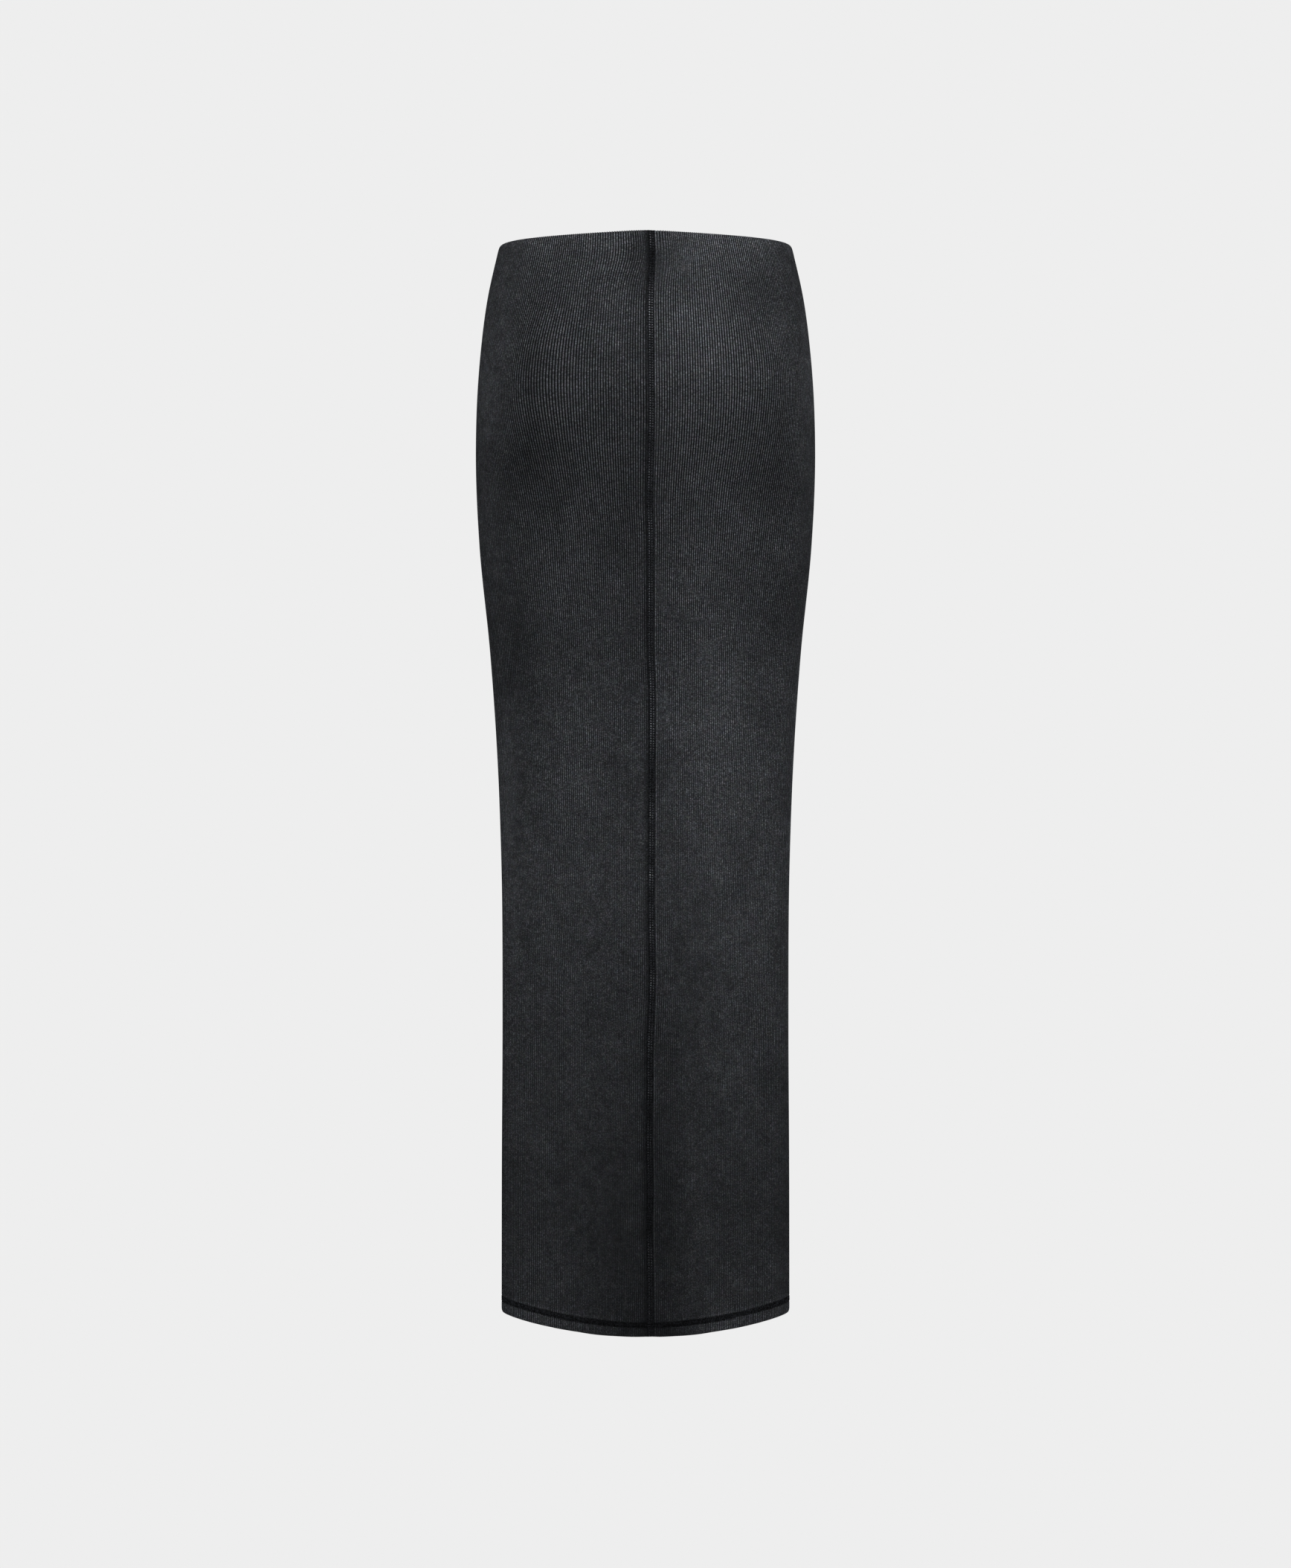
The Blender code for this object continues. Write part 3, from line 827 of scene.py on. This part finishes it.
def knit_panel(panel, knit, stitch):
    """A panel as one closed thin shell with its ribs, edges, folds and fades."""
    rows = panel_rows(panel, knit)
    front = panel is FRONT
    rings = Rings([row.drop for row in rows])
    share = np.linspace(0.0, 1.0, panel.ribs * COLUMNS_PER_RIB + 1)
    start, end = (rings.seams[seam][:, None] for seam in panel.seams)
    arc = drifted(rings, start + (end - start) * share, front)
    surface = cloth_surface(rings, arc, front, stitch)

    ribs = panel.first_rib + share * panel.ribs
    groove = 0.5 + 0.5 * np.cos(2.0 * math.pi * ribs)
    relief = millimetres(knit.rib_height) * groove * surface.ribbing
    depth, groove_in, groove_down = np.array(rows, dtype=float).T[1:4, :, None]
    points = on_cloth(rings, arc, surface.lift - depth - relief * groove_in)[0]
    points[..., 2] -= relief * groove_down

    quads, sides = panel_faces(rows, len(ribs))
    values = {name: getattr(surface, name) for name in ("wash", "clarity", "fluff", "ribbing")}
    mesh = new_mesh(panel.piece, points.reshape(-1, 3), quads.tolist() + sides.tolist(), values)
    add_maps(mesh, rows, ribs, quads, sides)
    return mesh


# ---- Threads ----

THREAD_SIDES = 6
LINE_STEPS_PER_STITCH = 4


def thread_mesh(name, groups, radius, axis, faded):
    """One mesh of round threads. Each group is a pair of arrays, (threads, points, 3): paths and outward
    directions. The thread has faded by the distances from the middle or the waist edge, along this axis, and
    the shares in faded."""
    points, faces, around, along = [], [], [], []
    first = 0
    turn = np.linspace(0.0, 2.0 * math.pi, THREAD_SIDES, endpoint=False)
    for paths, outward in groups:
        tangent = np.gradient(paths, axis=1)
        tangent /= np.linalg.norm(tangent, axis=2, keepdims=True)
        side = np.cross(tangent, outward)
        side /= np.linalg.norm(side, axis=2, keepdims=True)
        up = np.cross(side, tangent)
        ring = np.cos(turn)[:, None] * side[:, :, None, :] + np.sin(turn)[:, None] * up[:, :, None, :]
        points.append((paths[:, :, None, :] + radius * ring).reshape(-1, 3))
        threads, steps = paths.shape[:2]
        numbers = first + np.arange(threads * steps * THREAD_SIDES).reshape(threads, steps, THREAD_SIDES)
        ahead = np.roll(numbers, -1, axis=2)
        walls = np.stack((numbers[:, :-1], ahead[:, :-1], ahead[:, 1:], numbers[:, 1:]), axis=-1)
        faces += walls.reshape(-1, 4).tolist()
        faces += numbers[:, 0, ::-1].tolist() + numbers[:, -1].tolist()
        run = np.pad(np.cumsum(np.linalg.norm(np.diff(paths, axis=1), axis=2), axis=1), ((0, 0), (1, 0)))
        along.append(np.repeat(run, THREAD_SIDES, axis=1).ravel())
        around.append(np.tile(np.arange(THREAD_SIDES) / THREAD_SIDES, threads * steps))
        first += threads * steps * THREAD_SIDES
    points = np.concatenate(points)
    values = {
        "faded": np.interp(np.abs(points[:, axis]), *faded),
        "along": np.concatenate(along),
        "around": np.concatenate(around),
    }
    return new_mesh(name, points, faces, values)


LADDER_SEED = 7
LADDER_LINES = (-2.45, 0.0, 2.45)  # the seam's three upright lines of thread
LADDER_REACH = 3.1  # the rungs end here, to each side
LADDER_START = 1.2  # drop of the first rung
LADDER_END = 1.0  # above the hem
LINE_END = 0.3  # from the edges
LINE_LIFT = 0.12
LINE_WAVE = 0.14
RUNG_POINTS = (-1.0, -0.8, -0.4, 0.0, 0.4, 0.8, 1.0)
RUNG_HEIGHTS = (-0.15, 0.28, 0.42, 0.46, 0.42, 0.28, -0.15)
RUNG_SLANT = 0.35
RUNG_THREADS = (-0.27, 0.27)  # each rung is two threads, laid side by side
RUNG_SCATTER = (0.05, 0.03)  # up and down, and outwards
SEAM_THREAD_FADED = ((0, 30, 50, 640, 860, 1046), (1.2, 1.6, 2.0, 1.9, 1.2, 1.2))  # at these drops


def seam_ladder(stitch):
    """The flat seam's threads: rungs at each stitch and three upright lines."""
    pitch = millimetres(stitch.seam_stitch)
    radius = 0.5 * millimetres(stitch.thread)
    random = np.random.default_rng(LADDER_SEED)
    count = int((LENGTH - LADDER_END) / pitch)
    middle = LADDER_START + pitch * np.arange(count)

    def sewn(drops, across, lift):
        rings = Rings(np.clip(drops, 0.0, LENGTH))
        arc = rings.seams["centre_back"][:, None] - np.array(across)
        return on_cloth(rings, arc, (lift - seam_floor(rings.drops, stitch) + radius)[:, None])

    groups = []
    for beside in RUNG_THREADS:
        rung = []
        for share, height in zip(RUNG_POINTS, RUNG_HEIGHTS):
            drops = middle + beside + RUNG_SLANT * share + random.normal(0.0, RUNG_SCATTER[0], count)
            lift = height + random.normal(0.0, RUNG_SCATTER[1], count)
            rung.append(sewn(drops, [share * LADDER_REACH], lift))
        groups.append([np.concatenate(part, axis=1) for part in zip(*rung)])

    drops = np.linspace(LINE_END, LENGTH - LINE_END, count * LINE_STEPS_PER_STITCH)
    wave = np.cos(2.0 * math.pi * (drops - middle[0]) / pitch)
    groups.append([part.swapaxes(0, 1) for part in sewn(drops, LADDER_LINES, LINE_LIFT + LINE_WAVE * wave)])
    return thread_mesh("back_seam_stitching", groups, radius, 2, SEAM_THREAD_FADED)


HEM_SEED = 11
HEM_PATH_STEPS = 4
HEM_LINES = (-0.9, 0.05, 0.9)  # the straight lines of stitches, as shares of half the width
HEM_LINE_LIFT = 0.12
HEM_LINE_WAVE = 0.16
HEM_SLANTS = (1.0, -1.0, 0.4)  # of the cross threads, in stitches from one edge to the other
HEM_THREADS = 2  # laid side by side at each slant
HEM_THREAD_REST = -0.15  # the threads lie pressed into the cloth
HEM_THREAD_BOW = 0.14
HEM_SCATTER_ALONG = 0.1  # in stitches
HEM_SCATTER_OUT = 0.06
HEM_SCATTER_UP = (0.28, 0.1)  # of each thread, and of each point
HEM_THREAD_FADED = ((0, 30, 50, 100, 140), (0.55, 0.7, 1.0, 1.4, 1.5))  # this far from the middle
HEM_UNDER_SEAM = 0.5  # the hem's threads run under the ladder of the centre-back seam ...
HEM_UNDER_EDGE = (-0.9, 0.4)  # ... from here to here, beside the band's edge


def seam_dip(rings, arc, stitch):
    """The lift of the hem's threads beside the centre-back seam and in it."""
    across = rings.across(arc, False)
    beyond = np.abs(across) - 0.5 * millimetres(stitch.band_width)
    roll = SEAM_SINK * bell(np.clip(beyond, 0.0, None), by_side(ROLL, across))
    under = (HEM_UNDER_SEAM + millimetres(stitch.band_depth)) * (1.0 - soft_step(beyond, *HEM_UNDER_EDGE))
    return np.where(arc > rings.seams["left_side"][:, None], 0.0, -roll - under)


def hem_cover_stitch(stitch):
    """The hem's cover stitch: lines of straight stitches with slack threads laced to and fro between them."""
    radius = 0.5 * millimetres(stitch.thread)
    line, half = millimetres(stitch.hem_line), 0.5 * millimetres(stitch.hem_width) - radius
    random = np.random.default_rng(HEM_SEED)
    levels = np.linspace(-1.0, 1.0, HEM_PATH_STEPS)
    rings = Rings(LENGTH - line - half * levels)
    count = int(rings.arc[0, -1] / millimetres(stitch.hem_stitch))

    def sewn(rings, arc, lift):
        lift = HEM_THREAD_REST - HEM_PRESS + radius + lift + seam_dip(rings, arc, stitch)
        points, outward = on_cloth(rings, arc, lift)
        points[..., 2] += hem_line_rise(points[..., 0])
        return points, outward

    groups = []
    for slant in HEM_SLANTS:
        for side in range(HEM_THREADS):
            start = np.arange(count) + side / HEM_THREADS + random.normal(0.0, HEM_SCATTER_ALONG, count)
            arc = (start + 0.5 * slant * levels[:, None]) / count * rings.arc[:, -1:]
            bow = HEM_THREAD_BOW * (1.0 - levels[:, None] ** 4)
            points, outward = sewn(rings, arc, bow + random.normal(0.0, HEM_SCATTER_OUT, (1, count)))
            for spread, size in zip(HEM_SCATTER_UP, ((1, count), arc.shape)):
                points[..., 2] += random.normal(0.0, spread, size)
            groups.append((points.swapaxes(0, 1), outward.swapaxes(0, 1)))
    for share in HEM_LINES:
        ring = Rings([LENGTH - line - half * share])
        steps = count * LINE_STEPS_PER_STITCH
        wave = np.cos(2.0 * math.pi * np.arange(steps + 1) / LINE_STEPS_PER_STITCH)[None]
        arc = np.linspace(0.0, ring.arc[0, -1], steps + 1)[None]
        groups.append(sewn(ring, arc, HEM_LINE_LIFT + HEM_LINE_WAVE * wave))
    return thread_mesh("hem_stitching", groups, radius, 0, HEM_THREAD_FADED)


# ---- Materials ----


def set_inputs(tree, node, inputs):
    """Sets a node's inputs, in order or by name, to plain values or links them to other nodes' outputs."""
    for name, value in inputs.items() if isinstance(inputs, dict) else enumerate(inputs):
        if isinstance(value, bpy.types.NodeSocket):
            tree.links.new(value, node.inputs[name])
        else:
            node.inputs[name].default_value = value


def add_node(tree, kind, inputs=(), output=None, **settings):
    """Adds a node with its settings and links, and gives one of its outputs, or else the first in use."""
    node = tree.nodes.new("ShaderNode" + kind)
    for name, value in settings.items():
        setattr(node, name, value)
    set_inputs(tree, node, inputs)
    return node.outputs[output] if output else next(item for item in node.outputs if item.enabled)


def new_material(name):
    material = bpy.data.materials.new(name)
    material.use_nodes = True
    tree = material.node_tree
    return material, tree, tree.nodes["Principled BSDF"]


KNIT_ROUGHNESS = 0.9
KNIT_SPECULAR = 0.08
KNIT_SHEEN = 0.02
KNIT_SHEEN_ROUGHNESS = 0.6
CREST_EDGE = 0.40  # of the way from crest to crest, where the pale crest begins ...
CREST_FULL = 0.10  # ... and where it is fully pale
MEAN_TONE = 0.40  # tone of the knit where crests and grooves aren't told apart
CHEVRON = 1.6  # how steeply the stitches' two legs slope, in courses across a rib
RIB_OFFSET = 7.31  # moves each rib to another part of the noise
STITCH_TONES = (0.85, 1.1)
STITCH_BUMP = 0.12  # mm
STITCH_BUMP_STRENGTH = 0.7


class Mottle(NamedTuple):
    """Noise that the wash has left on the cloth, as a range of tones."""

    size: float  # mm
    detail: float
    low: float
    high: float
    floor: float = 0.28  # noise up to this level is all at the low tone


MOTTLE_CEILING = 0.72  # and from this level on at the high tone
MOTTLE_ROUGHNESS = 0.6
# down each rib: stitch by stitch, and more slowly
RIB_MOTTLES = (Mottle(2.1, 1.0, 0.59, 1.52), Mottle(16.0, 1.5, 0.86, 1.14))
# over the cloth: cloudy patches that the stones leave
CLOTH_MOTTLES = (Mottle(5.0, 2.0, 0.95, 1.05), Mottle(13.0, 2.0, 0.9, 1.1), Mottle(38.0, 2.0, 0.87, 1.13))
FLECKS = Mottle(1.05, 0.0, 0.76, 1.85, 0.46)  # pale, where the fibres have fluffed up ...
FLECKS_WORN = 0.5  # ... and this much stronger where the ribs have merged
WORN_MOTTLES = (Mottle(4.5, 2.0, 0.8, 1.34, 0.38), Mottle(12.0, 2.0, 0.74, 1.26))  # more patches there
RIB_PATCHES = Mottle(14.0, 2.0, 0.35, 1.55)  # patches where the ribs show more or less
# reddish, greenish and bluish rests of the black dye: size in mm, share
TINTS = ((3.4, 0.12), (14.0, 0.035))
TINT_DETAIL = 1.0


def mottled(tree, vector, mottle, scale=None):
    """A noise pattern as tones between the mottle's low and high."""
    size = scale or 1.0 / (mottle.size * MM)
    noise = {"Vector": vector, "Scale": size, "Detail": mottle.detail, "Roughness": MOTTLE_ROUGHNESS}
    span = {"From Min": mottle.floor, "From Max": MOTTLE_CEILING, "To Min": mottle.low, "To Max": mottle.high}
    return add_node(tree, "MapRange", {"Value": add_node(tree, "TexNoise", noise), **span}, clamp=True)


def washed_black_rib_knit(knit):
    """Cotton rib jersey, knitted, dyed black and stone washed. The wash has rubbed the crests of the ribs to
    grey, stitch by stitch and in cloudy patches, and left the dye in the grooves, so the cloth looks matt and
    dusty."""
    material, tree, surface = new_material("washed_black_rib_knit")
    axes = add_node(tree, "SeparateXYZ", [add_node(tree, "UVMap", uv_map=KNIT_MAP)]).node.outputs
    phase = add_node(tree, "Math", [axes["X"]], operation="FRACT")
    number = add_node(tree, "Math", [axes["X"]], operation="FLOOR")
    off = add_node(tree, "Math", [phase, 0.5], operation="SUBTRACT")
    off = add_node(tree, "Math", [off], operation="ABSOLUTE")
    span = {"Value": off, "From Min": CREST_EDGE, "From Max": CREST_FULL}
    crest = add_node(tree, "MapRange", span, interpolation_type="SMOOTHSTEP")

    # A knit stitch is 1.2 mm high, which is too fine to show, so the stitches are drawn at the course size
    legs = add_node(tree, "Math", [axes["Y"], 1.0 / millimetres(knit.course)], operation="MULTIPLY")
    legs = add_node(tree, "Math", [off, CHEVRON, legs], operation="MULTIPLY_ADD")
    legs = add_node(tree, "Math", [legs, 2.0 * math.pi], operation="MULTIPLY")
    legs = add_node(tree, "Math", [legs], operation="SINE")
    span = {"Value": legs, "From Min": -1.0, "To Min": STITCH_TONES[0], "To Max": STITCH_TONES[1]}
    stitches = add_node(tree, "MapRange", span)
    relief = add_node(tree, "Math", [crest, stitches], operation="MULTIPLY")

    # Each rib fades on its own down its length
    pale = relief
    rib_offset = add_node(tree, "Math", [number, RIB_OFFSET], operation="MULTIPLY")
    for mottle in RIB_MOTTLES:
        along = add_node(tree, "Math", [axes["Y"], mottle.size], operation="DIVIDE")
        tone = mottled(tree, add_node(tree, "CombineXYZ", [rib_offset, along]), mottle, 1.0)
        pale = add_node(tree, "Math", [pale, tone], operation="MULTIPLY")

    # The wash attribute holds the fading together with the painted light and shade laid on by the cloth's
    # tables
    wash, clarity, fluff, ribbing = (
        add_node(tree, "Attribute", output="Fac", attribute_name=name)
        for name in ("wash", "clarity", "fluff", "ribbing")
    )
    place = add_node(tree, "TexCoord", output="Object")
    clearer = add_node(tree, "Math", [clarity, mottled(tree, place, RIB_PATCHES)], operation="POWER")
    for share in (clearer, ribbing):
        pale = add_node(tree, "Mix", {"Factor": share, "A": MEAN_TONE, "B": pale}, data_type="FLOAT")

    tones = [mottled(tree, place, mottle) for mottle in CLOTH_MOTTLES] + [wash]
    worn = add_node(tree, "Math", [1.0, clearer], operation="SUBTRACT")
    raised = add_node(tree, "Math", [worn, FLECKS_WORN, 1.0], operation="MULTIPLY_ADD")
    raised = add_node(tree, "Math", [raised, fluff], operation="MULTIPLY")
    for mottle, power in ((FLECKS, raised), *((mottle, worn) for mottle in WORN_MOTTLES)):
        tones.append(add_node(tree, "Math", [mottled(tree, place, mottle), power], operation="POWER"))
    for tone in tones:
        pale = add_node(tree, "Math", [pale, tone], operation="MULTIPLY")
    dyes = {"Factor": pale, "A": tuple(knit.groove), "B": tuple(knit.crest)}
    colour = add_node(tree, "Mix", dyes, data_type="RGBA", clamp_factor=False)
    for size, share in TINTS:
        noise = {"Vector": place, "Scale": 1.0 / (size * MM), "Detail": TINT_DETAIL}
        tint = {"Factor": share, "A": colour, "B": add_node(tree, "TexNoise", noise, "Color")}
        colour = add_node(tree, "Mix", tint, data_type="RGBA", blend_type="OVERLAY")

    bump = {"Height": relief, "Strength": STITCH_BUMP_STRENGTH, "Distance": STITCH_BUMP * MM}
    finish = {
        "Base Color": colour,
        "Normal": add_node(tree, "Bump", bump),
        "Roughness": KNIT_ROUGHNESS,
        "Specular IOR Level": KNIT_SPECULAR,
        "Sheen Weight": KNIT_SHEEN,
        "Sheen Roughness": KNIT_SHEEN_ROUGHNESS,
    }
    set_inputs(tree, surface, finish)
    return material


THREAD_TWIST = 1.4  # mm along the thread for one turn of its plies
THREAD_PLIES = 2.0
THREAD_MOTTLE = Mottle(1.4, 0.0, 0.2, 2.1, 0.34)  # stitch by stitch the wash has faded the thread unevenly
PLY_SHADE_AND_SHEEN = (0.5, 1.3)  # painted shade between the plies and painted sheen on them
THREAD_BUMP = 0.05  # mm
THREAD_BUMP_STRENGTH = 0.5
THREAD_ROUGHNESS = 0.6
THREAD_SPECULAR = 0.1
BLACK = (0.0, 0.0, 0.0, 1.0)


def spun_polyester_thread(stitch):
    """Spun polyester sewing thread, twisted from two plies. Polyester keeps its dye in the wash, so the
    stitches stay black beside the faded knit. A faint satin along each ply is painted sheen in its colour,
    and the grooves between the plies are painted shade."""
    material, tree, surface = new_material("spun_polyester_thread")
    along, around, faded = (
        add_node(tree, "Attribute", output="Fac", attribute_name=name)
        for name in ("along", "around", "faded")
    )
    twist = add_node(tree, "Math", [along, THREAD_TWIST], operation="DIVIDE")
    twist = add_node(tree, "Math", [twist, around], operation="ADD")
    twist = add_node(tree, "Math", [twist, 2.0 * math.pi * THREAD_PLIES], operation="MULTIPLY")
    plies = add_node(tree, "Math", [twist], operation="SINE")
    # the plies' tone is painted shade between them and painted sheen on them
    span = {"Value": plies, "From Min": -1.0, "To Min": PLY_SHADE_AND_SHEEN[0], "To Max": PLY_SHADE_AND_SHEEN[1]}
    tone = add_node(tree, "MapRange", span)
    for share in (faded, mottled(tree, add_node(tree, "TexCoord", output="Object"), THREAD_MOTTLE)):
        tone = add_node(tree, "Math", [tone, share], operation="MULTIPLY")
    dyes = {"Factor": tone, "A": BLACK, "B": tuple(stitch.colour)}
    bump = {"Height": plies, "Strength": THREAD_BUMP_STRENGTH, "Distance": THREAD_BUMP * MM}
    finish = {
        "Base Color": add_node(tree, "Mix", dyes, data_type="RGBA", clamp_factor=False),
        "Normal": add_node(tree, "Bump", bump),
        "Roughness": THREAD_ROUGHNESS,
        "Specular IOR Level": THREAD_SPECULAR,
    }
    set_inputs(tree, surface, finish)
    return material


ROLLER_MARK = 25.0  # mm
ROLLER_BUMP = 0.2  # mm
ROLLER_BUMP_STRENGTH = 0.05
FLOOR_ROUGHNESS = 0.85


def matt_floor_paint(studio):
    """Matt emulsion on a smooth floor, rolled on, with the faintest unevenness of the roller."""
    material, tree, surface = new_material("matt_floor_paint")
    place = add_node(tree, "TexCoord", output="Object")
    cloud = add_node(tree, "TexNoise", {"Vector": place, "Scale": 1.0 / (ROLLER_MARK * MM)})
    bump = {"Height": cloud, "Strength": ROLLER_BUMP_STRENGTH, "Distance": ROLLER_BUMP * MM}
    finish = {
        "Base Color": tuple(studio.floor),
        "Normal": add_node(tree, "Bump", bump),
        "Roughness": FLOOR_ROUGHNESS,
    }
    set_inputs(tree, surface, finish)
    return material


# ---- Studio ----

LENS = 90.0
CAMERA_PLACE = (0.0, -3.764, -0.518)
FLOOR_HEIGHT = -1.6
FLOOR_RADIUS = 1.45
FLOOR_SIDES = 128
AIM = (0.0, 0.0, -0.45)
WHITE = (1.0, 1.0, 1.0, 1.0)
LIGHTS = (  # place and size, in metres
    ("key", (0.9, -3.2, 1.3), (1.6, 1.6)),
    ("fill", (-1.6, -3.0, 0.2), (1.6, 2.0)),
    ("rear", (0.2, 3.4, 0.9), (1.8, 1.8)),
)


def soft_light(name, place, size, power):
    """A soft light at this place, turned to the middle of the skirt."""
    lamp = bpy.data.lights.new(name, "AREA")
    lamp.shape = "RECTANGLE"
    lamp.size, lamp.size_y = size
    lamp.energy = power
    item = bpy.data.objects.new(name, lamp)
    item.location = place
    away = np.subtract(AIM, place)
    tilt = math.pi / 2 + math.atan2(away[2], math.hypot(away[0], away[1]))
    item.rotation_euler = (tilt, 0.0, math.atan2(-away[0], away[1]))
    item.visible_camera = False
    bpy.context.scene.collection.objects.link(item)


def set_up_studio(studio):
    """The backdrop, the floor, the lights and the camera."""
    scene = bpy.context.scene
    scene.view_settings.view_transform = "Standard"

    world = bpy.data.worlds.new("studio")
    world.use_nodes = True
    tree = world.node_tree
    seen = tree.nodes["Background"]
    set_inputs(tree, seen, {"Color": tuple(studio.backdrop)})
    lit = add_node(tree, "Background", {"Color": WHITE, "Strength": studio.ambient})
    camera_ray = add_node(tree, "LightPath", output="Is Camera Ray")
    mixed = add_node(tree, "MixShader", [camera_ray, lit, seen.outputs[0]])
    set_inputs(tree, tree.nodes["World Output"], {"Surface": mixed})
    scene.world = world

    bpy.ops.mesh.primitive_circle_add(
        vertices=FLOOR_SIDES, radius=FLOOR_RADIUS, fill_type="NGON", location=(0.0, 0.0, FLOOR_HEIGHT)
    )
    floor = bpy.context.object
    floor.name = "studio_floor"
    floor.data.materials.append(matt_floor_paint(studio))

    for name, place, size in LIGHTS:
        soft_light(name + "_light", place, size, getattr(studio, name))

    camera_data = bpy.data.cameras.new("camera")
    camera_data.lens = LENS
    camera = bpy.data.objects.new("camera", camera_data)
    camera.location = CAMERA_PLACE
    camera.rotation_euler = (math.pi / 2, 0.0, 0.0)
    scene.collection.objects.link(camera)
    scene.camera = camera


# ---- Operators, panel and registration ----


def settings():
    return bpy.context.scene.rib_skirt


class SKIRT_OT_panels(bpy.types.Operator):
    """Knit the three panels in place of their solids"""

    bl_idname = "rib_skirt.panels"
    bl_label = "Panels"

    def execute(self, context):
        knit, stitch = settings().knit, settings().stitch
        for panel in (BACK_RIGHT, BACK_LEFT, FRONT):
            piece = add_piece(knit_panel(panel, knit, stitch), washed_black_rib_knit, knit)
            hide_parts(panel.node)
        return {"FINISHED"}


class SKIRT_OT_back_seam(bpy.types.Operator):
    """Sew the flat seam down the centre back"""

    bl_idname = "rib_skirt.back_seam"
    bl_label = "Back seam"

    def execute(self, context):
        stitch = settings().stitch
        add_piece(seam_ladder(stitch), spun_polyester_thread, stitch)
        return {"FINISHED"}


class SKIRT_OT_hem_stitching(bpy.types.Operator):
    """Sew the cover stitch round the hem"""

    bl_idname = "rib_skirt.hem_stitching"
    bl_label = "Hem stitching"

    def execute(self, context):
        stitch = settings().stitch
        add_piece(hem_cover_stitch(stitch), spun_polyester_thread, stitch)
        return {"FINISHED"}


class SKIRT_OT_studio(bpy.types.Operator):
    """Set up the floor, the lights and the camera"""

    bl_idname = "rib_skirt.studio"
    bl_label = "Studio"

    def execute(self, context):
        set_up_studio(settings().studio)
        return {"FINISHED"}


OPERATORS = (SKIRT_OT_panels, SKIRT_OT_back_seam, SKIRT_OT_hem_stitching, SKIRT_OT_studio)


class SKIRT_PT_sidebar(bpy.types.Panel):
    """Sizes, colours and steps of the skirt"""

    bl_idname = "SKIRT_PT_sidebar"
    bl_label = "Rib-knit skirt"
    bl_space_type = "VIEW_3D"
    bl_region_type = "UI"
    bl_category = "Skirt"

    def draw(self, context):
        for group in (settings().knit, settings().stitch, settings().studio):
            box = self.layout.box()
            for name in group.__annotations__:
                box.prop(group, name)
        for operator in OPERATORS:
            self.layout.operator(operator.bl_idname)


CLASSES = (
    KnitProperties,
    StitchProperties,
    StudioProperties,
    SkirtProperties,
    *OPERATORS,
    SKIRT_PT_sidebar,
)


def register():
    for item in CLASSES:
        bpy.utils.register_class(item)
    bpy.types.Scene.rib_skirt = bpy.props.PointerProperty(type=SkirtProperties)


def unregister():
    del bpy.types.Scene.rib_skirt
    for item in reversed(CLASSES):
        bpy.utils.unregister_class(item)


def main():
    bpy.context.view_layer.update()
    register()
    bpy.ops.rib_skirt.panels()
    bpy.ops.rib_skirt.back_seam()
    bpy.ops.rib_skirt.hem_stitching()
    bpy.ops.rib_skirt.studio()


if __name__ == "__main__":
    main()
